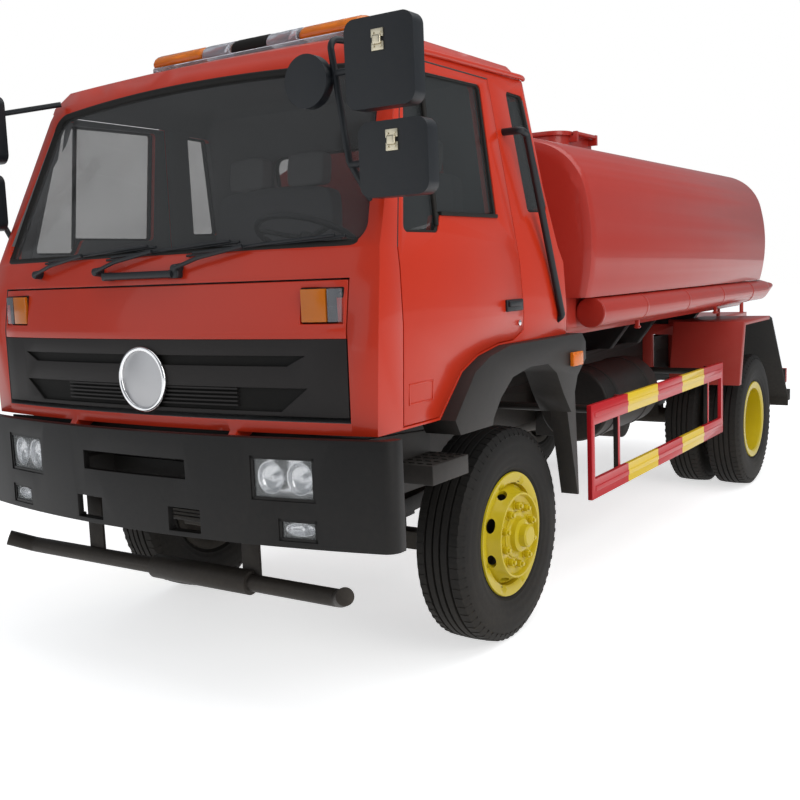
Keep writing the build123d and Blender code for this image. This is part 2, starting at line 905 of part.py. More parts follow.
with BuildPart() as hose_tubes:
    for side in (1, -1):
        with BuildSketch(Plane.XZ.offset(-station(tube_front))):
            with Locations((side * tube_x, tube_z)):
                Circle(tube_radius)
        extrude(amount=tube_front - tube_rear)
        with BuildSketch(Plane.XZ.offset(-station(tube_rear))):
            with Locations((side * tube_x, tube_z)):
                Circle(tube_radius)
        with BuildSketch(Plane.XZ.offset(-station(tube_tip))):
            with Locations((side * tube_x, tube_z + tube_tip_radius)):
                Circle(tube_tip_radius)
        loft()
        for y in tube_stations:
            block(
                side * (tank_notch_x + seat_gap),
                side * tube_x,
                y - tube_bracket / 2,
                y + tube_bracket / 2,
                tube_z - tube_bracket / 2,
                tube_z + tube_bracket / 2,
            )
hose_tubes.part.label = "hose_tubes"
export_step(hose_tubes.part, "parts/hose_tubes.step")

# Rear platform: a chequered deck on two arms with a guard rail and a ladder
deck_gap = 30.0
first_rung_share = 0.3
deck_front = tank_front + tank_length + deck_gap
deck_inset = 95.0
deck_rear = wheelbase + rear_overhang - deck_inset
deck_half = 780.0
deck_top = 1290.0
deck_wall = 40.0
deck_rail_radius = 17.0
deck_rail_top = 2200.0
deck_rail_bend = 80.0
ladder_half = 200.0
ladder_pitch = 280.0
ladder_radius = 14.0
rung_radius = 11.0
ladder_bottom = 620.0

with BuildPart() as rear_platform:
    block(-deck_half, deck_half, deck_front, deck_rear, deck_top - deck_wall, deck_top)
    for side in (1, -1):
        arm = (
            (deck_front, deck_top - deck_wall),
            (deck_rear, deck_top - deck_wall),
            (rail_rear, rail_top),
            (deck_front, rail_top),
        )
        across(arm, side * (rail_outer - sill_width), side * rail_outer)
        inner_y = deck_front + deck_rail_bend
        outer_y = deck_rear - deck_rail_radius - over
        rail_x = side * (deck_half - deck_rail_radius - over)
        pipe(
            (
                (rail_x, inner_y, deck_top - deck_wall / 2),
                (rail_x, inner_y, deck_rail_top),
                (rail_x, outer_y, deck_rail_top),
                (rail_x, outer_y, deck_top - deck_wall / 2),
            ),
            deck_rail_radius,
            deck_rail_bend,
        )
        middle = (deck_top + deck_rail_top) / 2
        pipe(((rail_x, inner_y, middle), (rail_x, outer_y, middle)), rung_radius)
        ladder_x = side * ladder_half
        ladder_y = deck_rear
        pipe(((ladder_x, ladder_y, ladder_bottom), (ladder_x, ladder_y, deck_top)), ladder_radius)
    rungs = int((deck_top - ladder_bottom) / ladder_pitch)
    for rung in range(rungs + 1):
        height = ladder_bottom + (rung + first_rung_share) * ladder_pitch
        if height < deck_top - deck_wall - ladder_radius:
            pipe(
                (
                    (-ladder_half, deck_rear, height),
                    (ladder_half, deck_rear, height),
                ),
                rung_radius,
            )
rear_platform.part.label = "rear_platform"
export_step(rear_platform.part, "parts/rear_platform.step")

# Water pump and rear sprinkler pipes under the tank's tail
pump_radius = 150.0
pump_y = 4850.0
pump_half = 170.0
pump_z = 880.0
delivery_radius = 32.0
delivery_z = 700.0
delivery_half = 900.0
delivery_y = 5100.0
jet_radius = 55.0
jet_length = 90.0
suction_z = 580.0
suction_end = 570.0
coupling_radius = 38.0
coupling_length = 80.0

with BuildPart() as water_pump:
    axle_disc(-pump_half, pump_half, pump_y, pump_z, pump_radius)
    block(
        rail_wall - rail_outer,
        rail_outer - rail_wall,
        pump_y - pump_radius / 2,
        pump_y + pump_radius / 2,
        rail_bottom + rail_wall,
        rail_bottom + rail_wall + deck_wall,
    )
    pipe(
        (
            (-pump_half / 2, pump_y, pump_z),
            (-pump_half / 2, pump_y, suction_z),
            (-suction_end, pump_y, suction_z),
        ),
        delivery_radius,
        delivery_radius * 2,
    )
    axle_disc(-suction_end, -suction_end - coupling_length, pump_y, suction_z, coupling_radius)
    pipe(
        (
            (0.0, pump_y, pump_z),
            (0.0, delivery_y, pump_z),
            (0.0, delivery_y, delivery_z),
        ),
        delivery_radius,
        delivery_radius * 2,
    )
    pipe(((-delivery_half, delivery_y, delivery_z), (delivery_half, delivery_y, delivery_z)), delivery_radius)
    for side in (1, -1):
        with BuildSketch(Plane.XZ.offset(-station(delivery_y))):
            with Locations((side * delivery_half, delivery_z)):
                Circle(delivery_radius)
        with BuildSketch(Plane.XZ.offset(-station(delivery_y + jet_length))):
            with Locations((side * delivery_half, delivery_z)):
                Circle(jet_radius)
        loft()
water_pump.part.label = "water_pump"
export_step(water_pump.part, "parts/water_pump.step")

# Rear bar and tail lamps
bar_length_half = 1150.0
rear_bar_low = 480.0
rear_bar_high = 580.0
rear_bar_depth = 60.0
rear_bar_rear = wheelbase + rear_overhang
drop_width = 60.0
tail_inner = 780.0
tail_outer = 1120.0
tail_height = 130.0
tail_low = 640.0

with BuildPart() as rear_bar:
    block(
        -bar_length_half,
        bar_length_half,
        rear_bar_rear - rear_bar_depth,
        rear_bar_rear,
        rear_bar_low,
        rear_bar_high,
    )
    for side in (1, -1):
        drop = (
            (rail_rear - drop_width, rail_bottom),
            (rail_rear - drop_width, rail_bottom + drop_width),
            (rail_rear, rail_bottom + drop_width),
            (rear_bar_rear, rear_bar_high),
            (rear_bar_rear - rear_bar_depth, rear_bar_high),
        )
        across(drop, side * rail_outer, side * (rail_outer + drop_width))
        block(
            side * tail_inner,
            side * tail_outer,
            rear_bar_rear - rear_bar_depth,
            rear_bar_rear - rear_bar_depth + rail_wall,
            rear_bar_high,
            tail_low + tail_height,
        )
rear_bar.part.label = "rear_bar"
export_step(rear_bar.part, "parts/rear_bar.step")

with BuildPart() as tail_lamps:
    for side in (1, -1):
        front = rear_bar_rear - rear_bar_depth + rail_wall
        block(
            side * tail_inner,
            side * tail_outer,
            front,
            rear_bar_rear - seat_gap,
            tail_low,
            tail_low + tail_height,
        )
tail_lamps.part.label = "tail_lamps"
export_step(tail_lamps.part, "parts/tail_lamps.step")

# Cab: a lofted body whose sections run from the floor to the roof
trim_module = 1000.0
cab_corner = 170.0
cab_rear_corner = 60.0
foot_end = -700.0
floor_tuck = 20.0
belt_tuck = 7.0
belt_lean = 35.0
belt_rear_lean = 15.0
screen_tuck = 16.0
screen_lean = 55.0
screen_rear_lean = 60.0
screen_corner_trim = 15.0
pillar_z = 2160.0
pillar_tuck = 50.0
pillar_lean = 188.0
pillar_rear_lean = 145.0
pillar_corner_trim = 35.0
roof_corner_trim = 40.0
eaves_tuck = 108.0
eaves_lean = 408.0
eaves_rear_lean = 232.0
crown_tuck = 170.0
crown_lean = 470.0
crown_rear_lean = 265.0
top_tuck = 300.0
top_lean = 610.0
top_rear_lean = 360.0
cab_levels = (
    # height, inset of each side, lean of the front, lean of the back, corner radius
    (cab_floor_z, floor_tuck, 0.0, 0.0, cab_corner),
    (cab_crease_z, 0.0, 0.0, 0.0, cab_corner),
    (cab_belt_z, belt_tuck, belt_lean, belt_rear_lean, cab_corner),
    (cab_screen_z, screen_tuck, screen_lean, screen_rear_lean, cab_corner - screen_corner_trim),
    (pillar_z, pillar_tuck, pillar_lean, pillar_rear_lean, cab_corner - pillar_corner_trim),
    (cab_eaves_z, eaves_tuck, eaves_lean, eaves_rear_lean, cab_corner - roof_corner_trim),
    (cab_crown_z, crown_tuck, crown_lean, crown_rear_lean, cab_corner - roof_corner_trim),
    (cab_top_z, top_tuck, top_lean, top_rear_lean, cab_corner - roof_corner_trim),
)
arch_foot_y = -627.0
arch_foot_z = 1240.0
arch_shoulder_y = -522.0
arch_shoulder_z = 1345.0
arch_crown_y = -389.0
arch_crown_z = 1400.0
arch_rear_y = -200.0
arch_line = (
    (foot_end, cab_floor_z),
    (arch_foot_y, arch_foot_z),
    (arch_shoulder_y, arch_shoulder_z),
    (arch_crown_y, arch_crown_z),
    (arch_rear_y, seat_floor_z),
    (cab_back + over, seat_floor_z),
)


def of_module(shares):
    """A table of places, each a share of the module that sets out the cab's curved trim."""
    return tuple(tuple(share * trim_module for share in row) for row in shares)


def cab_plan(z, half, front, back, corner, inset):
    """One level of the cab: a bowed front, straight sides and back, rounded corners."""
    half = half - inset
    front = front + inset
    back = back - inset
    bow = cab_bow * (half / cab_half_width) ** 2
    corner_y = station(front + bow)
    with BuildLine() as outline:
        ThreePointArc((-half, corner_y), (0, station(front)), (half, corner_y))
        Polyline((half, corner_y), (half, station(back)), (-half, station(back)), (-half, corner_y))
    with BuildSketch(Plane.XY.offset(z)) as plan:
        make_face(outline.edges())
        rear = plan.vertices().group_by(Axis.Y)[-1]
        fore = [v for v in plan.vertices() if abs(v.Y - corner_y) < seat_gap]
        fillet(rear, cab_rear_corner - inset / 2)
        fillet(fore, corner - inset)
    return plan.sketch


def cab_body(inset, top_inset):
    """The cab's outer form, or with an inset the hollow inside its walls."""
    plans = []
    for z, tuck, lean, rear_lean, corner in cab_levels:
        share = (z - cab_floor_z) / (cab_top_z - cab_floor_z)
        half = cab_half_width - tuck
        front = cab_front + lean
        back = cab_back - rear_lean
        plans.append(cab_plan(z - top_inset * share, half, front, back, corner, inset))
    return loft(Sketch() + plans, ruled=True, mode=Mode.PRIVATE)


with BuildPart() as cab_skin:
    add(cab_body(0.0, 0.0))
    under = arch_line + ((cab_back + over, cab_floor_z - over), (foot_end - over, cab_floor_z - over))
    across(under, -cab_half_width - over, cab_half_width + over, Mode.SUBTRACT)

with BuildPart() as cab_room:
    add(cab_body(cab_wall, cab_wall))
    floor = [(y - cab_wall, z + cab_wall) for y, z in arch_line]
    under = floor + [(cab_back + over, cab_floor_z - over), (cab_front - over, cab_floor_z - over)]
    under = under + [(cab_front - over, cab_floor_z + cab_wall)]
    across(under, -cab_half_width - over, cab_half_width + over, Mode.SUBTRACT)
with BuildPart() as cab_walls:
    add(cab_skin.part)
    add(cab_room.part, mode=Mode.SUBTRACT)

# Where the glass lies inside the cab's skin
glass_set = 14.0
glass_wall = 10.0

with BuildPart() as glass_layer:
    add(cab_body(glass_set, glass_set))
    add(cab_body(glass_set + glass_wall, glass_set + glass_wall), mode=Mode.SUBTRACT)

# Doors: their outline seen from the side, and the windows cut in them
door_front = -985.0
door_taper = 15.0
door_low = 1168.0
door_depth = 200.0
door_sill_depth = 80.0
door_sill_top = 1500.0
rear_depth = 400.0
door_head_front = -800.0
door_head_rear = -30.0
door_head_z = 2648.0
door_waist_y = 28.0
door_waist_z = 1950.0
door_rear = 50.0
door_lock_z = 1560.0
door_heel_z = 1480.0
door_heel_y = -54.0
door_heel_low = 1440.0
door_arch_gap = 4.0
door_outline = (
    (door_front, door_low),
    (door_front, cab_screen_z),
    (door_head_front, door_head_z),
    (door_head_rear, door_head_z),
    (door_waist_y, door_waist_z),
    (door_rear, door_lock_z),
    (door_rear, door_heel_z),
    (door_heel_y, door_heel_low),
    (arch_rear_y, seat_floor_z + door_arch_gap),
    (arch_crown_y, arch_crown_z + door_arch_gap),
    (arch_shoulder_y, arch_shoulder_z + door_arch_gap),
    (arch_foot_y, arch_foot_z + door_arch_gap),
    (foot_end, door_low),
)
window_front = -925.0
window_low = 1925.0
window_head_front = -765.0
window_head_z = 2570.0
window_rear = -138.0
window_rear_top = 2580.0
window_sill = 2000.0
vent_foot_y = -668.0
vent_sill_y = -630.0
door_window = (
    (window_front, window_low),
    (window_head_front, window_head_z),
    (window_rear, window_rear_top),
    (window_rear, window_sill),
    (vent_sill_y, window_sill),
    (vent_foot_y, window_low),
)
window_corner = 24.0
quarter_front = 105.0
quarter_foot_front = 180.0
quarter_rear = 275.0
quarter_foot_rear = 395.0
quarter_top = 2585.0
quarter_rear_top = 2580.0
quarter_low = 2030.0
quarter_rear_low = 2035.0
quarter_window = (
    (quarter_front, quarter_top),
    (quarter_rear, quarter_rear_top),
    (quarter_foot_rear, quarter_rear_low),
    (quarter_foot_front, quarter_low),
)
rear_window_half = 560.0
rear_window_low = 1960.0
rear_window_high = 2440.0
screen_low = 1885.0
screen_low_half = 1075.0
screen_high = 2585.0
screen_high_half = 968.0
screen_crown = 2622.0
lid_half = 1020.0
lid_low = 1212.0
lid_high = 1760.0
lid_low_gap = 20.0
grille_top = 1533.0
lug_front = -1218.0
lug_length = 110.0


def door_form(side, gap, depth):
    """The tapered form that a door, or with no gap its opening, takes out of the cab's wall."""
    with BuildSketch(Plane.YZ.offset(side * cab_half_width)) as outline:
        with BuildLine():
            Polyline(*[(station(y), z) for y, z in door_outline], close=True)
        make_face()
        if gap:
            offset(amount=-gap, kind=Kind.INTERSECTION)
    form = extrude(outline.sketch, amount=-side * depth, taper=door_taper, mode=Mode.PRIVATE)
    sill_x = side * (cab_half_width - door_sill_depth + gap)
    inner_x = side * (cab_half_width - depth - over)
    with BuildSketch(Plane.YZ.offset(inner_x)) as inner:
        with Locations((station((door_front + cab_back) / 2), door_sill_top / 2)):
            Rectangle(cab_back - door_front, door_sill_top)
    return form - extrude(inner.sketch, amount=sill_x - inner_x, mode=Mode.PRIVATE)


def window_form(points, side, gap):
    """A window's form through a side wall, its corners rounded."""
    with BuildSketch(Plane.YZ.offset(side * (cab_half_width + over))) as outline:
        with BuildLine():
            Polyline(*[(station(y), z) for y, z in points], close=True)
        make_face()
        fillet(outline.vertices(), window_corner)
        if gap:
            offset(amount=-gap)
    return extrude(outline.sketch, amount=-side * door_depth, mode=Mode.PRIVATE)


def screen_form(gap):
    """The windscreen's form seen from the front, its head crowned."""
    low = (screen_low_half - gap, screen_low + gap)
    high = (screen_high_half - gap, screen_high - gap)
    with BuildSketch(Plane.XZ.offset(-station(cab_front - over))) as outline:
        with BuildLine():
            Line((-low[0], low[1]), low)
            Line(low, high)
            ThreePointArc(high, (0, screen_crown - gap), (-high[0], high[1]))
            Line((-high[0], high[1]), (-low[0], low[1]))
        make_face()
        fillet(outline.vertices(), 3 * window_corner)
    return extrude(outline.sketch, amount=cab_front + over, mode=Mode.PRIVATE)


def rear_form(gap):
    """The rear window's form, cut through the sloping back wall."""
    with BuildSketch(Plane.XZ.offset(-station(cab_back + over))) as outline:
        with Locations((0, (rear_window_low + rear_window_high) / 2)):
            RectangleRounded(
                2 * (rear_window_half - gap), rear_window_high - rear_window_low - 2 * gap, 3 * window_corner
            )
    return extrude(outline.sketch, amount=rear_depth, mode=Mode.PRIVATE)


def lid_form(low, high, gap):
    """The front lid's form, or with no gap its opening."""
    with BuildSketch(Plane.XZ.offset(-station(cab_front - over))) as outline:
        with Locations((0, (low + high) / 2)):
            Rectangle(2 * (lid_half - gap), high - low)
    return extrude(outline.sketch, amount=-(cab_wall + cab_bow + cab_bow), mode=Mode.PRIVATE)


with BuildPart() as cab_shell:
    add(cab_walls.part)
    add(screen_form(0.0), mode=Mode.SUBTRACT)
    add(rear_form(0.0), mode=Mode.SUBTRACT)
    add(lid_form(lid_low, lid_high, 0.0), mode=Mode.SUBTRACT)
    for side in (1, -1):
        add(door_form(side, 0.0, door_depth), mode=Mode.SUBTRACT)
        add(window_form(quarter_window, side, 0.0), mode=Mode.SUBTRACT)
        lug_x = rail_outer + ear_wall + lug_gap
        lug = (
            (lug_front, cab_floor_z + cab_wall / 2),
            (lug_front + lug_length, cab_floor_z + cab_wall / 2),
            (lug_front + lug_length, cab_floor_z),
            (pivot_y + pivot_boss, pivot_z),
            (pivot_y - pivot_boss, pivot_z),
        )
        across(lug, side * lug_x, side * (lug_x + lug_wall))
        axle_disc(side * lug_x, side * (lug_x + lug_wall), pivot_y, pivot_z, pivot_boss)
        axle_disc(
            side * (lug_x - over),
            side * (lug_x + lug_wall + over),
            pivot_y,
            pivot_z,
            pivot_radius + pin_gap,
            Mode.SUBTRACT,
        )
cab_shell.part.label = "cab_shell"
export_step(cab_shell.part, "parts/cab_shell.step")

with BuildPart() as cab_hull:
    add(cab_body(-seat_gap, -seat_gap))

with BuildPart() as windscreen:
    add(glass_layer.part)
    add(screen_form(seat_gap), mode=Mode.INTERSECT)
windscreen.part.label = "windscreen"
export_step(windscreen.part, "parts/windscreen.step")

with BuildPart() as cab_glass:
    add(glass_layer.part)
    with BuildPart(mode=Mode.PRIVATE) as openings:
        add(rear_form(seat_gap))
        for side in (1, -1):
            add(window_form(quarter_window, side, seat_gap))
    add(openings.part, mode=Mode.INTERSECT)
cab_glass.part.label = "cab_glass"
export_step(cab_glass.part, "parts/cab_glass.step")

for name, side in both_sides:
    with BuildPart() as door:
        add(cab_walls.part)
        add(door_form(side, panel_gap, door_depth), mode=Mode.INTERSECT)
        add(window_form(door_window, side, 0.0), mode=Mode.SUBTRACT)
    door.part.label = f"door_{name}"
    export_step(door.part, f"parts/door_{name}.step")
    with BuildPart() as pane:
        add(glass_layer.part)
        add(window_form(door_window, side, seat_gap), mode=Mode.INTERSECT)
    pane.part.label = f"door_glass_{name}"
    export_step(pane.part, f"parts/door_glass_{name}.step")

# Front lid: the painted upper panel and the grille below it, hinged along its top edge
with BuildPart() as grille:
    add(cab_walls.part)
    add(lid_form(lid_low + lid_low_gap, grille_top, panel_gap), mode=Mode.INTERSECT)
grille.part.label = "grille"
export_step(grille.part, "parts/grille.step")

# Turn signals in the front lid's corners and markers on the flares
signal_inner = 815.0
signal_outer = 1000.0
signal_low = 1590.0
signal_high = 1727.0
signal_proud = 12.0
signal_depth = 40.0
marker_front = 440.0
marker_rear = 560.0
marker_low = 1275.0
marker_high = 1345.0
marker_proud = 22.0
flare_outer = 1200.0
flare_inner = 1030.0
flare_drop = 0.3


def lid_skin(x):
    """The station of the cab's bowed front face at a place across the truck."""
    return cab_front + cab_bow * (x / cab_half_width) ** 2


signal_hole = (
    signal_inner - seat_gap,
    signal_outer + seat_gap,
    signal_low - seat_gap,
    signal_high + seat_gap,
)
signal_back = lid_skin(signal_inner) + signal_depth + seat_gap

with BuildPart() as front_panel:
    add(cab_walls.part)
    add(lid_form(grille_top, lid_high - panel_gap, panel_gap), mode=Mode.INTERSECT)
    for side in (1, -1):
        block(
            side * signal_hole[0],
            side * signal_hole[1],
            cab_front - over,
            signal_back,
            signal_hole[2],
            signal_hole[3],
            Mode.SUBTRACT,
        )
front_panel.part.label = "front_panel"
export_step(front_panel.part, "parts/front_panel.step")

with BuildPart() as turn_signals:
    for side in (1, -1):
        plan = (
            (side * signal_inner, lid_skin(signal_inner) - signal_proud),
            (side * signal_outer, lid_skin(signal_outer) - signal_proud),
            (side * signal_outer, signal_back - seat_gap),
            (side * signal_inner, signal_back - seat_gap),
        )
        upward(plan, signal_low, signal_high)
turn_signals.part.label = "turn_signals"
export_step(turn_signals.part, "parts/turn_signals.step")

# Wheel-arch flares under the cab's arches, with the front mud flaps and side markers
# The outlines are shares of the trim module, back from the front axle and up from the ground
flare_inside_shares = (
    (0.448, 1.045),
    (0.363, 1.143),
    (0.283, 1.26),
    (0.186, 1.312),
    (-0.004, 1.317),
    (-0.183, 1.288),
    (-0.299, 1.21),
    (-0.372, 1.129),
    (-0.38, 1.1),
    (-0.66, 1.1),
)
flare_tail_shares = (
    (0.64, 1.385),
    (0.64, 1.299),
    (0.53, 1.22),
)
front_flap_shares = (
    (0.448, 1.045),
    (0.53, 1.22),
    (0.54, 1.2),
    (0.577, 0.6),
    (0.561, 0.6),
)
flare_inside = of_module(flare_inside_shares)
flare_tail = ((cab_back + over, seat_floor_z),) + of_module(flare_tail_shares)
front_flap = of_module(front_flap_shares)

with BuildPart() as arch_flares:
    for side in (1, -1):
        top = [(y, z - flare_drop) for y, z in arch_line[:-1]]
        tail = [(y, z - flare_drop) for y, z in flare_tail]
        across(tuple(top + tail) + flare_inside, side * flare_inner, side * flare_outer)
        across(front_flap, side * (flare_inner + cab_wall), side * (flare_outer - marker_proud))
arch_flares.part.label = "arch_flares"
export_step(arch_flares.part, "parts/arch_flares.step")

with BuildPart() as side_markers:
    for side in (1, -1):
        block(
            side * (flare_outer + seat_gap),
            side * (flare_outer + marker_proud),
            marker_front,
            marker_rear,
            marker_low,
            marker_high,
        )
side_markers.part.label = "side_markers"
export_step(side_markers.part, "parts/side_markers.step")

# Wipers: three arms with their blades, parked low on the windscreen
wiper_pivots = (-700.0, -250.0, 215.0)
wiper_z = 1822.0
wiper_spindle = 14.0
wiper_arm_radius = 9.0
wiper_reach = 560.0
wiper_rise = 90.0
wiper_proud = 40.0
wiper_set = 45.0
wiper_tip_set = 75.0

with BuildPart() as wipers:
    for x in wiper_pivots:
        base = lid_skin(x) + wiper_set
        tip_x = x + wiper_reach
        tip = lid_skin(tip_x) + wiper_tip_set - wiper_proud
        pipe(((x, base + wiper_spindle, wiper_z), (x, base - wiper_proud, wiper_z)), wiper_spindle)
        pipe(
            ((x, base - wiper_proud, wiper_z), (tip_x, tip, wiper_z + wiper_rise)),
            wiper_arm_radius,
        )
    add(cab_hull.part, mode=Mode.SUBTRACT)
wipers.part.label = "wipers"
export_step(wipers.part, "parts/wipers.step")

# Warning light bar on two feet over the windscreen
bar_lamp_half = 640.0
bar_lamp_y = -330.0
bar_lamp_depth = 300.0
bar_lamp_low = 2800.0
bar_lamp_height = 110.0
bar_foot_x = 480.0
bar_foot_width = 70.0

with BuildPart() as light_bar:
    with BuildSketch(Plane.XY.offset(bar_lamp_low)):
        with Locations((0, station(bar_lamp_y))):
            RectangleRounded(2 * bar_lamp_half, bar_lamp_depth, bar_lamp_depth / 2 - over)
    extrude(amount=bar_lamp_height)
    fillet(light_bar.faces().sort_by(Axis.Z)[-1].edges(), bar_lamp_height / 4)
    for side in (1, -1):
        block(
            side * (bar_foot_x - bar_foot_width / 2),
            side * (bar_foot_x + bar_foot_width / 2),
            bar_lamp_y - bar_foot_width / 2,
            bar_lamp_y + bar_foot_width / 2,
            cab_top_z + seat_gap,
            bar_lamp_low,
        )
light_bar.part.label = "light_bar"
export_step(light_bar.part, "parts/light_bar.step")

# Mirrors: a tube arm on each front pillar with two heads, and a round one on the left
mirror_y = -1060.0
mirror_tube = 13.0
mirror_head_shares = (
    # inner x, outer x, low, high
    (1.032, 1.33, 2.362, 2.68),
    (1.078, 1.375, 2.045, 2.314),
)
mirror_depth = 70.0
mirror_corner = 45.0
arm_head_shares = ((0.955, -0.79, 2.66),)
arm_foot_shares = ((1.1, -0.99, 1.935),)
arm_turn_shares = (
    # x and height of the arm's two turns, on the left and on the right
    ((0.915, 2.65), (0.985, 2.19)),
    ((1.17, 2.6), (1.205, 2.19)),
)
mirror_bend = 45.0
round_x = 827.0
round_stem_x = 938.0
round_z = 2500.0
round_centre = (round_x, mirror_y, round_z)
round_radius = 100.0
round_depth = 45.0
mirror_heads = of_module(mirror_head_shares)
mirror_routes = []
for turn_shares in arm_turn_shares:
    turns = tuple((x, mirror_y, z) for x, z in of_module(turn_shares))
    mirror_routes.append(of_module(arm_head_shares) + turns + of_module(arm_foot_shares))

with BuildPart() as mirrors:
    for side, route in zip((1, -1), mirror_routes):
        pipe([(side * x, y, z) for x, y, z in route], mirror_tube, mirror_bend)
        for inner, outer, low, high in mirror_heads:
            with BuildSketch(Plane.XZ.offset(-station(mirror_y - mirror_depth))):
                with Locations((side * (inner + outer) / 2, (low + high) / 2)):
                    RectangleRounded(outer - inner, high - low, mirror_corner)
            extrude(amount=-mirror_depth)
            height = (low + high) / 2
            share = (route[1][2] - height) / (route[1][2] - route[2][2])
            stem_x = route[1][0] + (route[2][0] - route[1][0]) * share
            middle = (inner + outer) / 2
            pipe(
                ((side * stem_x, mirror_y, height), (side * middle, mirror_y, height)),
                mirror_tube,
            )
    with BuildSketch(Plane.XZ.offset(-station(round_centre[1] - round_depth))):
        with Locations((round_centre[0], round_centre[2])):
            Circle(round_radius)
    extrude(amount=-round_depth)
    pipe((round_centre, (round_stem_x, mirror_y, round_z)), mirror_tube)
    add(cab_hull.part, mode=Mode.SUBTRACT)
mirrors.part.label = "mirrors"
export_step(mirrors.part, "parts/mirrors.step")

# Grab rails behind the doors
rail_radius = 17.0
rail_stand = 1165.0
rail_root = 1068.0
rail_foot = 1125.0
rail_top_y = 28.0
rail_top_z = 2389.0
rail_knee_y = 80.0
rail_knee_z = 2375.0
rail_foot_y = 433.0
rail_heel_z = 1530.0
rail_foot_z = 1500.0
rail_route = (
    (rail_root, rail_top_y, rail_top_z),
    (rail_stand, rail_top_y, rail_top_z),
    (rail_stand, rail_knee_y, rail_knee_z),
    (rail_stand, rail_foot_y, rail_heel_z),
    (rail_foot, rail_foot_y, rail_foot_z),
)

with BuildPart() as grab_rails:
    for side in (1, -1):
        pipe([(side * x, y, z) for x, y, z in rail_route], rail_radius, over)
    add(cab_hull.part, mode=Mode.SUBTRACT)
grab_rails.part.label = "grab_rails"
export_step(grab_rails.part, "parts/grab_rails.step")

# Cab inside: dashboard, steering wheel with its column, and the seats
dash_half = 940.0
dash_shares = (
    (-1.078, 1.77),
    (-1.045, 1.84),
    (-0.9, 1.862),
    (-0.83, 1.78),
    (-0.86, 1.56),
    (-1.078, 1.56),
)
dash_profile = of_module(dash_shares)
dash_leg_x = 700.0
dash_leg_half = 60.0
dash_leg_front = -1060.0
dash_leg_depth = 80.0
column_radius = 28.0
column_y = -858.0
column_z = 1700.0
wheel_x = 480.0
column_foot = (wheel_x, column_y, column_z)
wheel_y = -690.0
wheel_z = 1930.0

with BuildPart() as dashboard:
    across(dash_profile, -dash_half, dash_half)
    for side in (1, -1):
        block(
            side * (dash_leg_x - dash_leg_half),
            side * (dash_leg_x + dash_leg_half),
            dash_leg_front,
            dash_leg_front + dash_leg_depth,
            cab_floor_z + cab_wall,
            dash_profile[-1][1] + over,
        )
    pipe((column_foot, (wheel_x, wheel_y, wheel_z)), column_radius + seat_gap, mode=Mode.SUBTRACT)
dashboard.part.label = "dashboard"
export_step(dashboard.part, "parts/dashboard.step")

wheel_rim = 230.0
wheel_grip = 15.0
wheel_tilt = 25.0

with BuildPart() as steering_wheel:
    hub_plane = Plane(origin=(wheel_x, station(wheel_y), wheel_z)).rotated((-wheel_tilt, 0, 0))
    with Locations(hub_plane):
        Torus(wheel_rim, wheel_grip)
        Cylinder(wheel_grip * 3, wheel_grip * 2)
    for turn in (0, 120, 240):
        with Locations(hub_plane * Location((0, 0, 0), (0, 0, turn + 90))):
            Box(wheel_rim, wheel_grip * 1.5, wheel_grip, align=(Align.MIN, Align.CENTER, Align.CENTER))
    pipe((column_foot, (wheel_x, wheel_y, wheel_z)), column_radius)
steering_wheel.part.label = "steering_wheel"
export_step(steering_wheel.part, "parts/steering_wheel.step")

bench_x = -430.0
driver_half = 260.0
bench_half = 430.0
seat_places = ((wheel_x, driver_half), (bench_x, bench_half))
seat_front = -430.0
seat_rear = 90.0
seat_base_top = 1740.0
cushion_top = 1880.0
back_lean = 90.0
back_thick = 130.0
back_top = 2440.0
seat_corner = 30.0

with BuildPart() as seats:
    for x, half in seat_places:
        base = (
            (seat_front + seat_corner, seat_floor_z + cab_wall),
            (seat_rear, seat_floor_z + cab_wall),
            (seat_rear, seat_base_top),
            (seat_front, seat_base_top),
        )
        across(base, x - half + seat_corner, x + half - seat_corner)
        shape = (
            (seat_front, seat_base_top),
            (seat_rear + back_thick, seat_base_top),
            (seat_rear + back_thick + back_lean, back_top),
            (seat_rear + back_lean, back_top),
            (seat_rear, cushion_top),
            (seat_front, cushion_top - seat_corner),
        )
        across(shape, x - half, x + half)
seats.part.label = "seats"
export_step(seats.part, "parts/seats.step")

# Knuckles: a forked upright on each kingpin with its brake, stub axle and steering arm
fork_x = 905.0
fork_wall = 35.0
brake_outer = 1020.0
stub_radius = 35.0
stub_end = 1140.0
arm_end_y = 145.0
arm_end_x = kingpin_x
arm_thick = 30.0
arm_width = 44.0
ball_radius = 16.0
ear_low = tyre_radius - boss_half - ear_play - ear_thick
ear_high = tyre_radius + boss_half + ear_play + ear_thick

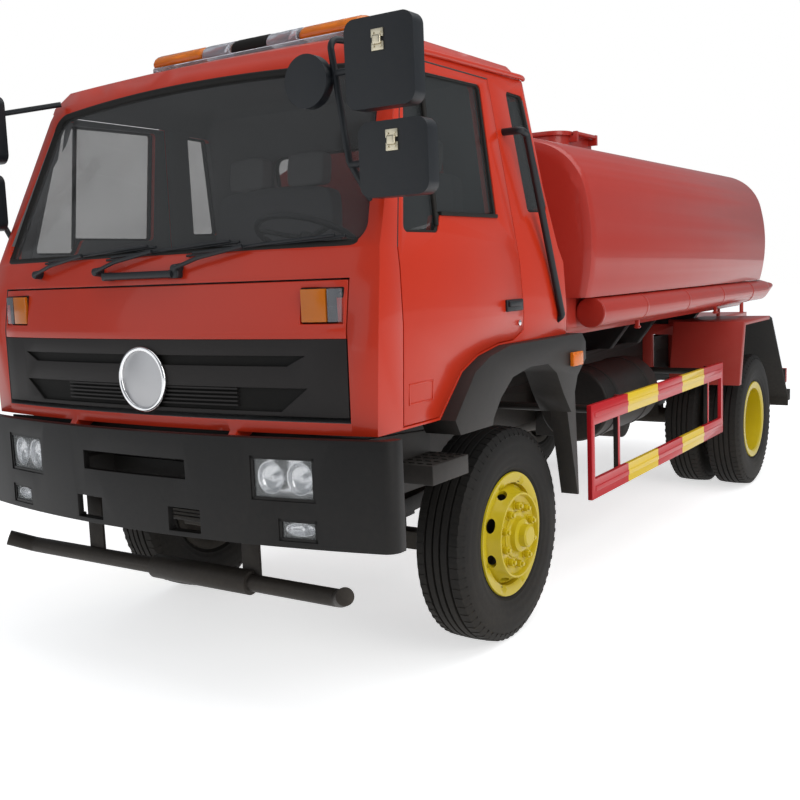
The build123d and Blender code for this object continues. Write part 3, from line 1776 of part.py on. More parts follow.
for name, side in both_sides:
    with BuildPart() as knuckle:
        yoke_x = side * (fork_x + fork_wall)
        for low in (ear_low, ear_high - ear_thick):
            upright_disc(side * kingpin_x, 0.0, low, low + ear_thick, boss_radius)
            block(side * kingpin_x, yoke_x, -boss_radius, boss_radius, low, low + ear_thick)
        block(side * fork_x, yoke_x, -boss_radius, boss_radius, ear_low, ear_high)
        axle_disc(yoke_x, side * brake_outer, 0.0, tyre_radius, brake_radius)
        axle_disc(side * brake_outer, side * stub_end, 0.0, tyre_radius, stub_radius)
        upright_disc(
            side * kingpin_x,
            0.0,
            ear_low - over,
            ear_high + over,
            kingpin_radius + pin_gap,
            Mode.SUBTRACT,
        )
        arm = (
            (side * (kingpin_x - boss_radius / 2), boss_radius / 2),
            (side * (arm_end_x - arm_width / 2), arm_end_y),
            (side * arm_end_x, arm_end_y + arm_width / 2),
            (side * (arm_end_x + arm_width / 2), arm_end_y),
            (side * (kingpin_x + boss_radius / 2), boss_radius / 2),
        )
        upward(arm, ear_low - arm_thick, ear_low)
        upright_disc(side * kingpin_x, 0.0, ear_low - arm_thick, ear_low, boss_radius)
        ball_low = ear_low - 2 * arm_thick - 2 * ear_play
        upright_disc(side * arm_end_x, arm_end_y, ball_low, ear_low, ball_radius)
    knuckle.part.label = f"knuckle_{name}"
    export_step(knuckle.part, f"parts/knuckle_{name}.step")

# Track rod between the two steering arms
rod_radius = 13.0
rod_eye = 30.0
rod_high = ear_low - arm_thick - ear_play
rod_low = rod_high - arm_thick

with BuildPart() as track_rod:
    rod_z = (rod_low + rod_high) / 2
    pipe(((-arm_end_x, arm_end_y, rod_z), (arm_end_x, arm_end_y, rod_z)), rod_radius)
    for side, gap in ((1, pin_gap), (-1, run_gap)):
        upright_disc(side * arm_end_x, arm_end_y, rod_low, rod_high, rod_eye)
        upright_disc(
            side * arm_end_x,
            arm_end_y,
            rod_low - over,
            rod_high + over,
            ball_radius + gap,
            Mode.SUBTRACT,
        )
track_rod.part.label = "track_rod"
export_step(track_rod.part, "parts/track_rod.step")

# Wheels: steel rims with a dished disc and a hub, and tyres on their seats
rim_half = 105.0
rim_flange = 298.0
rim_wall = 12.0
disc_dish = twin_spacing / 2
disc_knee = 165.0
disc_root = 50.0
hub_radius = 110.0
hub_inner = 1030.0
cap_radius = 82.0
cap_outer = 1180.0
rear_hub_inner = 826.0
rear_cap_outer = 1120.0
tyre_section = (
    # across share, height share
    (0.92, 0.185),
    (1.0, 0.47),
    (0.985, 0.64),
    (0.91, 0.85),
    (0.83, 0.935),
    (0.7, 0.98),
    (0.0, 1.0),
)


def ring(points, y):
    """A ring turned from (x, radius) points about a wheel's axis."""
    plane = Plane(origin=(0, station(y), tyre_radius), x_dir=(1, 0, 0), z_dir=(0, -1, 0))
    with BuildSketch(plane) as section:
        with BuildLine():
            Polyline(*points, close=True)
        make_face()
    revolve(section.sketch, axis=Axis((0, station(y), tyre_radius), (1, 0, 0)))


def tyre_ring(x, y):
    """A tyre between a rim's flanges, its sidewalls bowed out to the tread."""
    height = tyre_radius - seat_radius
    seat = seat_radius + seat_gap
    half = rim_half - seat_gap
    walls = [(tyre_width / 2 * wide, seat_radius + height * tall) for wide, tall in tyre_section]
    right = [(half, seat), (half, walls[0][1])] + walls
    left = [(-dx, radius) for dx, radius in reversed(right[:-1])]
    ring([(x + dx, radius) for dx, radius in right + left], y)


def rim_ring(x, toward, y):
    """A rim's barrel with its flanges, and its disc dished towards one side."""
    barrel = (
        (-rim_half - rim_wall, rim_flange),
        (-rim_half, rim_flange),
        (-rim_half, seat_radius),
        (rim_half, seat_radius),
        (rim_half, rim_flange),
        (rim_half + rim_wall, rim_flange),
        (rim_half + rim_wall, seat_radius),
        (rim_half, seat_radius - rim_wall),
        (-rim_half, seat_radius - rim_wall),
        (-rim_half - rim_wall, seat_radius),
    )
    ring([(x + dx, radius) for dx, radius in barrel], y)
    disc = (
        (disc_root, seat_radius - rim_wall / 2),
        (disc_root + 2 * rim_wall, seat_radius - rim_wall / 2),
        (disc_dish, disc_knee + rim_wall),
        (disc_dish, stub_radius + over),
        (disc_dish - rim_wall, stub_radius + over),
        (disc_dish - rim_wall, disc_knee),
    )
    ring([(x + toward * dx, radius) for dx, radius in disc], y)


def hub_ring(inner, end, cap, bore, y, side):
    """A hub bored over its spindle, closed by a cap."""
    rows = (
        (inner, bore),
        (end, bore),
        (end, 0.0),
        (cap, 0.0),
        (cap, cap_radius),
        (cap - over, cap_radius + over / 2),
        (end - over, hub_radius),
        (inner, hub_radius),
    )
    ring([(side * x, radius) for x, radius in rows], y)


for name, side in both_sides:
    with BuildPart() as tyre:
        tyre_ring(side * front_wheel_x, 0.0)
    tyre.part.label = f"tyre_front_{name}"
    export_step(tyre.part, f"parts/tyre_front_{name}.step")
    with BuildPart() as rim:
        rim_ring(side * front_wheel_x, side, 0.0)
        hub_ring(hub_inner, stub_end + run_gap, cap_outer, stub_radius + pin_gap, 0.0, side)
    rim.part.label = f"rim_front_{name}"
    export_step(rim.part, f"parts/rim_front_{name}.step")
    with BuildPart() as tyres:
        for shift in (-1, 1):
            tyre_ring(side * rear_wheel_x + shift * twin_spacing / 2, rear_axle)
    tyres.part.label = f"tyres_rear_{name}"
    export_step(tyres.part, f"parts/tyres_rear_{name}.step")
    with BuildPart() as rims:
        for shift in (-1, 1):
            rim_ring(side * rear_wheel_x + shift * twin_spacing / 2, -shift, rear_axle)
        bore = spindle_radius + pin_gap
        hub_ring(rear_hub_inner, spindle_end + run_gap, rear_cap_outer, bore, rear_axle, side)
    rims.part.label = f"rims_rear_{name}"
    export_step(rims.part, f"parts/rims_rear_{name}.step")
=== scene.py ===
"""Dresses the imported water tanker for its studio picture: paint, glass, lamps, tyres and trim."""

import json
import logging
import math
from dataclasses import dataclass
from enum import Enum
from typing import Callable, Dict, List, Optional, Sequence, Tuple

import bpy
from mathutils import Matrix, Vector

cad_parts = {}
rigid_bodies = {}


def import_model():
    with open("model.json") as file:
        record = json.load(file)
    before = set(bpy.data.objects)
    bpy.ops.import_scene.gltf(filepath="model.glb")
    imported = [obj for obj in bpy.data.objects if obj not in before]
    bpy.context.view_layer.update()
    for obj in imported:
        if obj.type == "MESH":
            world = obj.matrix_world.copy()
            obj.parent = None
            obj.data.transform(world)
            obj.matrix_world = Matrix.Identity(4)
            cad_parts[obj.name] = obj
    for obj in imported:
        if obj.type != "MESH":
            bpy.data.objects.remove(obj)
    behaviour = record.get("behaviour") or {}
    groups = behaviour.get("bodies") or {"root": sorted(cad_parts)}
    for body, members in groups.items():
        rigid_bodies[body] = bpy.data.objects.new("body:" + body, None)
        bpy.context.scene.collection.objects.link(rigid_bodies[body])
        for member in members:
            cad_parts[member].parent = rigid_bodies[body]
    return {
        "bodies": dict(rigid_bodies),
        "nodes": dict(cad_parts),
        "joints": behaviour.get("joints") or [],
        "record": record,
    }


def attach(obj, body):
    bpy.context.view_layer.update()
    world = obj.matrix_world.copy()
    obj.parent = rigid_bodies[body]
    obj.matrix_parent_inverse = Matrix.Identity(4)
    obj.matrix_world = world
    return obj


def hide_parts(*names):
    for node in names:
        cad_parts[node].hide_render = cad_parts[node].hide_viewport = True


LOG = logging.getLogger("tanker")

Point = Tuple[float, float, float]
Colour = Tuple[float, float, float]
Piece = bpy.types.Object
Tree = bpy.types.NodeTree
Socket = bpy.types.NodeSocket

FRONT_AXLE_Y = -2.045
WHEELBASE = 3.95
AXLE_Z = 0.514


def station(metres: float) -> float:
    """Return the Y place of a point measured from the front axle."""
    return FRONT_AXLE_Y + metres


class Body(Enum):
    """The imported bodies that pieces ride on."""

    CHASSIS = "chassis"
    CAB = "cab"
    FRONT_LID = "front_lid"
    DOOR_LEFT = "door_left"
    DOOR_RIGHT = "door_right"
    MANHOLE = "manhole_lid"
    KNUCKLE_LEFT = "knuckle_left"
    KNUCKLE_RIGHT = "knuckle_right"
    TRACK_ROD = "track_rod"
    WHEEL_FRONT_LEFT = "wheel_front_left"
    WHEEL_FRONT_RIGHT = "wheel_front_right"
    WHEELS_REAR_LEFT = "wheels_rear_left"
    WHEELS_REAR_RIGHT = "wheels_rear_right"


class Side(Enum):
    """The two sides of the truck, with the sign of X on each."""

    LEFT = 1
    RIGHT = -1

    @property
    def word(self) -> str:
        """Return the side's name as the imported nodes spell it."""
        return self.name.lower()


# Shader node groups.


class NodeGroups:
    """The shared shader effects, each built once and placed in the materials that use it."""

    def __init__(self) -> None:
        """Build every group."""
        self.dust = self._dust()
        self.mottle = self._mottle()
        self.peel = self._peel()
        self.grain = self._grain()
        self.scuff = self._scuff()

    @staticmethod
    def _new(name: str, inputs: Dict[str, float], outputs: Sequence[str]) -> Tree:
        """Make an empty group.

        Args:
            name: The group's name.
            inputs: Float inputs and their default values.
            outputs: Names of the float outputs.

        Returns:
            The group, with its input and output nodes placed.
        """
        tree = bpy.data.node_groups.new(name, "ShaderNodeTree")
        for label, value in inputs.items():
            socket = tree.interface.new_socket(label, in_out="INPUT", socket_type="NodeSocketFloat")
            socket.default_value = value
        for label in outputs:
            tree.interface.new_socket(label, in_out="OUTPUT", socket_type="NodeSocketFloat")
        tree.nodes.new("NodeGroupInput")
        tree.nodes.new("NodeGroupOutput")
        return tree

    @staticmethod
    def _ends(tree: Tree) -> Tuple[bpy.types.Node, bpy.types.Node]:
        """Return a group's input node and output node."""
        return tree.nodes["Group Input"], tree.nodes["Group Output"]

    def _noise(
        self,
        tree: Tree,
        scale: Optional[Socket],
        detail: float,
        rough: float = 0.5,
        fixed: float = 5.0,
    ) -> bpy.types.Node:
        """Place a noise texture on Object coordinates.

        Args:
            tree: The group that takes the node.
            scale: A socket that drives the scale, or None.
            detail: The noise's detail.
            rough: The noise's roughness.
            fixed: The scale used where no socket drives it.

        Returns:
            The noise node.
        """
        coords = tree.nodes.new("ShaderNodeTexCoord")
        noise = tree.nodes.new("ShaderNodeTexNoise")
        noise.inputs["Detail"].default_value = detail
        noise.inputs["Roughness"].default_value = rough
        noise.inputs["Scale"].default_value = fixed
        tree.links.new(coords.outputs["Object"], noise.inputs["Vector"])
        if scale is not None:
            tree.links.new(scale, noise.inputs["Scale"])
        return noise

    @staticmethod
    def _maths(
        tree: Tree,
        operation: str,
        first: object,
        second: object = None,
        clamp: bool = False,
    ) -> Socket:
        """Place one Math node.

        Args:
            tree: The group that takes the node.
            operation: The Math node's operation.
            first: A socket or a number.
            second: A socket, a number or None.
            clamp: Whether the result stays between 0 and 1.

        Returns:
            The node's output socket.
        """
        node = tree.nodes.new("ShaderNodeMath")
        node.operation = operation
        node.use_clamp = clamp
        for index, value in enumerate((first, second)):
            if value is None:
                continue
            if isinstance(value, (int, float)):
                node.inputs[index].default_value = value
            else:
                tree.links.new(value, node.inputs[index])
        return node.outputs[0]

    def _dust(self) -> Tree:
        """Build road dust that thins out from a low height to a high one, in soft patches."""
        inputs = {"Low": 0.3, "High": 1.6, "Amount": 0.3, "Floor": 0.03}
        tree = self._new("road_dust", inputs, ("Mask",))
        start, end = self._ends(tree)
        coords = tree.nodes.new("ShaderNodeTexCoord")
        split = tree.nodes.new("ShaderNodeSeparateXYZ")
        tree.links.new(coords.outputs["Object"], split.inputs[0])
        ramp = tree.nodes.new("ShaderNodeMapRange")
        ramp.inputs["To Min"].default_value = 1.0
        ramp.inputs["To Max"].default_value = 0.0
        tree.links.new(split.outputs["Z"], ramp.inputs["Value"])
        tree.links.new(start.outputs["Low"], ramp.inputs["From Min"])
        tree.links.new(start.outputs["High"], ramp.inputs["From Max"])
        broad = self._noise(tree, None, 3.0, 0.6, 2.3)
        fine = self._noise(tree, None, 6.0, 0.7, 38.0)
        patches = self._maths(tree, "MULTIPLY", broad.outputs["Fac"], fine.outputs["Fac"])
        patches = self._maths(tree, "MULTIPLY", patches, 3.2)
        fall = self._maths(tree, "MULTIPLY", ramp.outputs[0], start.outputs["Amount"])
        fall = self._maths(tree, "ADD", fall, start.outputs["Floor"])
        tree.links.new(self._maths(tree, "MULTIPLY", fall, patches, True), end.inputs["Mask"])
        return tree

    def _mottle(self) -> Tree:
        """Build a slow variation round 1, for colours and roughness."""
        tree = self._new("slow_mottle", {"Scale": 3.0, "Depth": 0.1}, ("Factor",))
        start, end = self._ends(tree)
        noise = self._noise(tree, start.outputs["Scale"], 4.0, 0.6)
        centred = self._maths(tree, "SUBTRACT", noise.outputs["Fac"], 0.5)
        scaled = self._maths(tree, "MULTIPLY", centred, start.outputs["Depth"])
        tree.links.new(self._maths(tree, "ADD", scaled, 1.0), end.inputs["Factor"])
        return tree

    def _peel(self) -> Tree:
        """Build the shallow waves of sprayed paint on hand-beaten sheet."""
        tree = self._new("sprayed_waves", {"Waves": 2.4, "Peel": 160.0}, ("Height",))
        start, end = self._ends(tree)
        waves = self._noise(tree, start.outputs["Waves"], 1.0)
        peel = self._noise(tree, start.outputs["Peel"], 1.0)
        slow = self._maths(tree, "MULTIPLY", waves.outputs["Fac"], 0.9)
        fast = self._maths(tree, "MULTIPLY", peel.outputs["Fac"], 0.02)
        tree.links.new(self._maths(tree, "ADD", slow, fast), end.inputs["Height"])
        return tree

    def _grain(self) -> Tree:
        """Build a moulded or cast grain as small bumps."""
        tree = self._new("moulded_grain", {"Scale": 420.0, "Detail": 2.0}, ("Height",))
        start, end = self._ends(tree)
        noise = self._noise(tree, start.outputs["Scale"], 2.0, 0.55)
        tree.links.new(start.outputs["Detail"], noise.inputs["Detail"])
        tree.links.new(noise.outputs["Fac"], end.inputs["Height"])
        return tree

    def _scuff(self) -> Tree:
        """Build sparse worn spots, where a finish is rubbed through."""
        tree = self._new("worn_spots", {"Scale": 14.0, "Amount": 0.4}, ("Mask",))
        start, end = self._ends(tree)
        noise = self._noise(tree, start.outputs["Scale"], 7.0, 0.72)
        edge = self._maths(tree, "SUBTRACT", 1.0, start.outputs["Amount"])
        edge = self._maths(tree, "MULTIPLY", edge, 0.55)
        edge = self._maths(tree, "ADD", edge, 0.3)
        over = self._maths(tree, "SUBTRACT", noise.outputs["Fac"], edge)
        tree.links.new(self._maths(tree, "MULTIPLY", over, 9.0, True), end.inputs["Mask"])
        return tree


# Finishes.


@dataclass(frozen=True)
class Finish:
    """One finish of the truck, in a maker's words.

    Attributes:
        name: The material's name.
        colour: Its base colour, linear.
        rough: Its roughness.
        metal: Its metallic value.
        coat: Weight of a clear coat.
        dust: How much road dust lies low on it.
        dust_high: The height, in metres, where the dust ends.
        mottle: How far its colour wanders.
        grain_scale: Scale of a moulded grain, 0 for none.
        grain_depth: Height of that grain, in metres.
        waves: Height of the shallow waves of sprayed sheet, in metres.
        worn: How much of it is rubbed through.
        worn_colour: The colour below it.
        clear: Transmission weight.
        ior: Index of refraction.
        shine: Specular level of its plain surface.
    """

    name: str
    colour: Colour
    rough: float = 0.45
    metal: float = 0.0
    coat: float = 0.0
    dust: float = 0.25
    dust_high: float = 1.5
    mottle: float = 0.12
    grain_scale: float = 0.0
    grain_depth: float = 0.0
    waves: float = 0.0
    worn: float = 0.0
    worn_colour: Colour = (0.25, 0.24, 0.23)
    clear: float = 0.0
    ior: float = 1.45
    shine: float = 0.5


DUST_COLOUR: Colour = (0.34, 0.28, 0.21)


class Finishes:
    """Makes the materials from their finishes and hands them out by name."""

    def __init__(self, groups: NodeGroups) -> None:
        """Make every material.

        Args:
            groups: The shared shader effects.
        """
        self.groups = groups
        self.made: Dict[str, bpy.types.Material] = {}
        for finish in FINISHES:
            self.made[finish.name] = self._make(finish)
        self.made["guard_stripes"] = self._stripes(FINISH_BY_NAME["guard_red"])
        self.made["screen_glass"] = self._pane("screen_glass", (0.10, 0.10, 0.10), 0.24)
        self.made["cab_glass"] = self._pane("cab_glass", (0.030, 0.034, 0.034), 0.42)
        self.made["lamp_glass"] = self._pane("lamp_glass", (0.60, 0.62, 0.62), 0.16)

    def __getitem__(self, name: str) -> bpy.types.Material:
        """Return a material by its finish's name."""
        return self.made[name]

    def _group(self, tree: Tree, group: Tree, **values: float) -> bpy.types.Node:
        """Place a shared effect in a material.

        Args:
            tree: The material's node tree.
            group: The effect's node group.
            **values: Values for its inputs.

        Returns:
            The group node.
        """
        node = tree.nodes.new("ShaderNodeGroup")
        node.node_tree = group
        for label, value in values.items():
            node.inputs[label].default_value = value
        return node

    @staticmethod
    def _mix(tree: Tree, factor: object, first: object, second: object) -> Socket:
        """Mix two colours.

        Args:
            tree: The material's node tree.
            factor: A socket or a number.
            first: A socket or a colour.
            second: A socket or a colour.

        Returns:
            The mixed colour's socket.
        """
        node = tree.nodes.new("ShaderNodeMix")
        node.data_type = "RGBA"
        for index, value in ((0, factor), (6, first), (7, second)):
            socket = node.inputs[index]
            if isinstance(value, Socket):
                tree.links.new(value, socket)
            elif isinstance(value, tuple):
                socket.default_value = (*value, 1.0)
            else:
                socket.default_value = value
        return node.outputs[2]

    def _shaded(self, finish: Finish, tree: Tree, colour: Socket) -> None:
        """Wire a colour, its dust, wear and bumps into the material's shader.

        Args:
            finish: The finish to follow.
            tree: The material's node tree.
            colour: The clean colour's socket.
        """
        shader = tree.nodes["Principled BSDF"]
        shader.inputs["Metallic"].default_value = finish.metal
        shader.inputs["IOR"].default_value = finish.ior
        shader.inputs["Transmission Weight"].default_value = finish.clear
        shader.inputs["Coat Weight"].default_value = finish.coat
        shader.inputs["Coat Roughness"].default_value = 0.06
        shader.inputs["Specular IOR Level"].default_value = finish.shine
        rough: object = finish.rough
        if finish.worn:
            spots = self._group(tree, self.groups.scuff, Scale=16.0, Amount=finish.worn)
            colour = self._mix(tree, spots.outputs["Mask"], colour, finish.worn_colour)
        if finish.dust:
            reach = {"Low": 0.25, "High": finish.dust_high, "Amount": finish.dust, "Floor": 0.01}
            dust = self._group(tree, self.groups.dust, **reach)
            colour = self._mix(tree, dust.outputs["Mask"], colour, DUST_COLOUR)
            blend = tree.nodes.new("ShaderNodeMapRange")
            blend.inputs["To Min"].default_value = finish.rough
            blend.inputs["To Max"].default_value = 0.9
            tree.links.new(dust.outputs["Mask"], blend.inputs["Value"])
            rough = blend.outputs[0]
        tree.links.new(colour, shader.inputs["Base Color"])
        if isinstance(rough, Socket):
            tree.links.new(rough, shader.inputs["Roughness"])
        else:
            shader.inputs["Roughness"].default_value = finish.rough
        heights = []
        if finish.waves:
            heights.append((self._group(tree, self.groups.peel), finish.waves))
        if finish.grain_scale:
            grain = self._group(tree, self.groups.grain, Scale=finish.grain_scale)
            heights.append((grain, finish.grain_depth))
        normal: Optional[Socket] = None
        for node, depth in heights:
            bump = tree.nodes.new("ShaderNodeBump")
            bump.inputs["Distance"].default_value = depth
            bump.inputs["Strength"].default_value = 1.0
            tree.links.new(node.outputs["Height"], bump.inputs["Height"])
            if normal is not None:
                tree.links.new(normal, bump.inputs["Normal"])
            normal = bump.outputs["Normal"]
        if normal is not None:
            tree.links.new(normal, shader.inputs["Normal"])

    def _make(self, finish: Finish) -> bpy.types.Material:
        """Make one material from its finish."""
        material = bpy.data.materials.new(finish.name)
        material.use_nodes = True
        tree = material.node_tree
        mottle = self._group(tree, self.groups.mottle, Scale=2.6, Depth=finish.mottle)
        colour = self._mix(tree, 1.0, finish.colour, finish.colour)
        scale = tree.nodes.new("ShaderNodeVectorMath")
        scale.operation = "SCALE"
        tree.links.new(colour, scale.inputs[0])
        tree.links.new(mottle.outputs["Factor"], scale.inputs["Scale"])
        self._shaded(finish, tree, scale.outputs[0])
        return material

    def _pane(self, name: str, tint: Colour, film: float) -> bpy.types.Material:
        """Make thin glass that shows what lies behind it without bending it.

        Args:
            name: The material's name.
            tint: The colour of its film.
            film: How much of the light each face of the pane keeps.

        Returns:
            The material.
        """
        material = bpy.data.materials.new(name)
        material.use_nodes = True
        tree = material.node_tree
        shader = tree.nodes["Principled BSDF"]
        shader.inputs["Base Color"].default_value = (*tint, 1.0)
        shader.inputs["IOR"].default_value = 1.5
        shader.inputs["Specular IOR Level"].default_value = 0.9
        smears = self._group(tree, self.groups.mottle, Scale=1.6, Depth=0.5)
        rough = NodeGroups._maths(tree, "MULTIPLY", smears.outputs["Factor"], 0.05)
        tree.links.new(rough, shader.inputs["Roughness"])
        alpha = NodeGroups._maths(tree, "MULTIPLY", smears.outputs["Factor"], film)
        tree.links.new(alpha, shader.inputs["Alpha"])
        return material

    def _stripes(self, finish: Finish) -> bpy.types.Material:
        """Make the guard's red and yellow blocks, by the place along the truck."""
        material = bpy.data.materials.new("guard_stripes")
        material.use_nodes = True
        tree = material.node_tree
        coords = tree.nodes.new("ShaderNodeTexCoord")
        split = tree.nodes.new("ShaderNodeSeparateXYZ")
        tree.links.new(coords.outputs["Object"], split.inputs[0])
        colour: object = finish.colour
        for start, end in YELLOW_BLOCKS:
            after = NodeGroups._maths(tree, "GREATER_THAN", split.outputs["Y"], station(start))
            before = NodeGroups._maths(tree, "LESS_THAN", split.outputs["Y"], station(end))
            inside = NodeGroups._maths(tree, "MULTIPLY", after, before)
            colour = self._mix(tree, inside, colour, (0.80, 0.56, 0.02))
        self._shaded(finish, tree, colour)
        return material


YELLOW_BLOCKS: Tuple[Tuple[float, float], ...] = ((1.235, 1.735), (2.20, 2.66))

FINISHES: Tuple[Finish, ...] = (
    Finish(
        "cab_red", (0.56, 0.030, 0.008), 0.30, coat=0.22, dust=0.03, mottle=0.10, waves=0.0014,
        shine=0.3,
    ),
    Finish(
        "tank_red", (0.42, 0.024, 0.014), 0.36, coat=0.30, dust=0.05, dust_high=2.4,
        mottle=0.16, waves=0.003, shine=0.4,
    ),
    Finish(
        "fender_red", (0.36, 0.030, 0.022), 0.45, coat=0.15, dust=0.12, mottle=0.2, waves=0.001,
        shine=0.3,
    ),
    Finish(
        "guard_red", (0.52, 0.006, 0.014), 0.35, coat=0.25, dust=0.04, mottle=0.08,
        waves=0.0006, shine=0.3,
    ),
    Finish(
        "wheel_yellow", (0.60, 0.46, 0.003), 0.36, coat=0.2, dust=0.05, dust_high=1.1,
        mottle=0.16, waves=0.0005, worn=0.08, worn_colour=(0.12, 0.10, 0.05), shine=0.3,
    ),
    Finish(
        "bumper_black", (0.006, 0.006, 0.0065), 0.42, coat=0.05, dust=0.02, dust_high=1.4,
        mottle=0.3, waves=0.0012, grain_scale=500.0, grain_depth=0.00012, shine=0.22,
    ),
    Finish(
        "grille_grey", (0.016, 0.014, 0.014), 0.5, dust=0.02, mottle=0.2, grain_scale=520.0,
        grain_depth=0.0002, shine=0.25,
    ),
    Finish(
        "recess_black", (0.006, 0.006, 0.006), 0.7, dust=0.03, mottle=0.2, grain_scale=400.0,
        grain_depth=0.0002, shine=0.2,
    ),
    Finish(
        "flare_black", (0.016, 0.015, 0.015), 0.5, dust=0.07, dust_high=1.6, mottle=0.2,
        grain_scale=350.0, grain_depth=0.0003, shine=0.3,
    ),
    Finish(
        "mirror_black", (0.009, 0.012, 0.016), 0.40, dust=0.02, dust_high=3.0, mottle=0.15,
        grain_scale=600.0, grain_depth=0.0001, shine=0.35,
    ),
    Finish(
        "frame_black", (0.009, 0.009, 0.0095), 0.5, dust=0.10, dust_high=1.3, mottle=0.3,
        grain_scale=90.0, grain_depth=0.0006, shine=0.3,
    ),
    Finish(
        "cast_grey", (0.028, 0.026, 0.024), 0.65, metal=0.2, dust=0.14, dust_high=1.3,
        mottle=0.35, grain_scale=70.0, grain_depth=0.001, shine=0.3,
    ),
    Finish(
        "pipe_iron", (0.022, 0.019, 0.017), 0.5, metal=0.3, dust=0.08, dust_high=1.0,
        mottle=0.4, grain_scale=60.0, grain_depth=0.0008, worn=0.28,
        worn_colour=(0.12, 0.062, 0.034), shine=0.3,
    ),
    Finish(
        "tyre_rubber", (0.008, 0.008, 0.0082), 0.68, dust=0.04, dust_high=1.2, mottle=0.3,
        grain_scale=240.0, grain_depth=0.0003, shine=0.25,
    ),
    Finish(
        "flap_rubber", (0.010, 0.010, 0.010), 0.62, dust=0.08, dust_high=1.5, mottle=0.3,
        grain_scale=120.0, grain_depth=0.0005, shine=0.25,
    ),
    Finish(
        "seal_rubber", (0.007, 0.007, 0.007), 0.6, dust=0.03, dust_high=3.0, mottle=0.2,
        shine=0.25,
    ),
    Finish(
        "cab_plastic", (0.16, 0.16, 0.165), 0.6, dust=0.0, mottle=0.12, grain_scale=380.0,
        grain_depth=0.0003,
    ),
    Finish(
        "seat_cloth", (0.16, 0.16, 0.17), 0.9, dust=0.0, mottle=0.3, grain_scale=700.0,
        grain_depth=0.0006,
    ),
    Finish(
        "seat_cover", (0.30, 0.30, 0.30), 0.75, dust=0.0, mottle=0.2, grain_scale=500.0,
        grain_depth=0.0004,
    ),
    Finish(
        "amber_lens", (0.92, 0.24, 0.01), 0.14, dust=0.02, mottle=0.06, clear=0.35, ior=1.4,
        grain_scale=110.0, grain_depth=0.0006,
    ),
    Finish(
        "red_lens", (0.70, 0.02, 0.015), 0.15, dust=0.1, mottle=0.06, clear=0.3, ior=1.4,
        grain_scale=110.0, grain_depth=0.0006,
    ),
    Finish(
        "smoke_lens", (0.55, 0.57, 0.62), 0.08, dust=0.04, mottle=0.05, clear=0.75, ior=1.35,
        grain_scale=110.0, grain_depth=0.0004,
    ),
    Finish("reflector", (0.74, 0.75, 0.77), 0.22, metal=1.0, dust=0.0, mottle=0.06),
    Finish("chrome", (0.80, 0.80, 0.81), 0.10, metal=1.0, dust=0.03, mottle=0.05),
    Finish(
        "satin_disc", (0.42, 0.42, 0.43), 0.38, metal=1.0, dust=0.05, mottle=0.1,
        grain_scale=300.0, grain_depth=0.0001,
    ),
    Finish(
        "zinc_plate", (0.55, 0.50, 0.38), 0.35, metal=1.0, dust=0.05, mottle=0.25,
        grain_scale=180.0, grain_depth=0.0002,
    ),
)

FINISH_BY_NAME: Dict[str, Finish] = {finish.name: finish for finish in FINISHES}


# Modelling helpers.


def clear_selection() -> None:
    """Leave edit mode and deselect everything."""
    if bpy.context.object and bpy.context.object.mode != "OBJECT":
        bpy.ops.object.mode_set(mode="OBJECT")
    bpy.ops.object.select_all(action="DESELECT")


def activate(piece: Piece) -> None:
    """Make a piece the only selected and the active one."""
    clear_selection()
    piece.select_set(True)
    bpy.context.view_layer.objects.active = piece


def settle(piece: Piece) -> Piece:
    """Apply a piece's place, turn and size to its mesh."""
    activate(piece)
    bpy.ops.object.transform_apply(location=True, rotation=True, scale=True)
    return piece


def named(name: str) -> Piece:
    """Name the active object and its mesh, and return it."""
    piece = bpy.context.active_object
    piece.name = name
    piece.data.name = name
    return piece


def modified(piece: Piece, kind: str, **values: object) -> Piece:
    """Add a modifier to a piece and apply it.

    Args:
        piece: The piece.
        kind: The modifier's type.
        **values: Its settings.

    Returns:
        The piece.
    """
    activate(piece)
    modifier = piece.modifiers.new(kind.lower(), kind)
    for label, value in values.items():
        setattr(modifier, label, value)
    bpy.ops.object.modifier_apply(modifier=modifier.name)
    return piece


def smoothed(piece: Piece, degrees: float = 32.0) -> Piece:
    """Shade a piece smooth up to an angle between its faces."""
    activate(piece)
    bpy.ops.object.shade_smooth_by_angle(angle=math.radians(degrees))
    return piece


def eased(piece: Piece, width: float, segments: int = 2, degrees: float = 35.0) -> Piece:
    """Round a piece's sharp edges and shade it smooth.

    Args:
        piece: The piece.
        width: The rounding's width, in metres.
        segments: Faces across the rounding.
        degrees: Edges sharper than this are rounded.

    Returns:
        The piece.
    """
    modified(
        piece,
        "BEVEL",
        width=width,
        segments=segments,
        limit_method="ANGLE",
        angle_limit=math.radians(degrees),
        use_clamp_overlap=True,
        harden_normals=False,
    )
    return smoothed(piece, 40.0)


def slab(name: str, low: Point, high: Point, ease: float = 0.0, segments: int = 2) -> Piece:
    """Make a block between two corners with eased edges.

    Args:
        name: The piece's name.
        low: Its lowest corner.
        high: Its highest corner.
        ease: Width of its eased edges.
        segments: Faces across each edge.

    Returns:
        The block.
    """
    clear_selection()
    middle = [(a + b) / 2 for a, b in zip(low, high)]
    bpy.ops.mesh.primitive_cube_add(size=1.0, location=middle)
    piece = named(name)
    piece.scale = [abs(b - a) for a, b in zip(low, high)]
    settle(piece)
    if ease:
        eased(piece, ease, segments)
    return piece


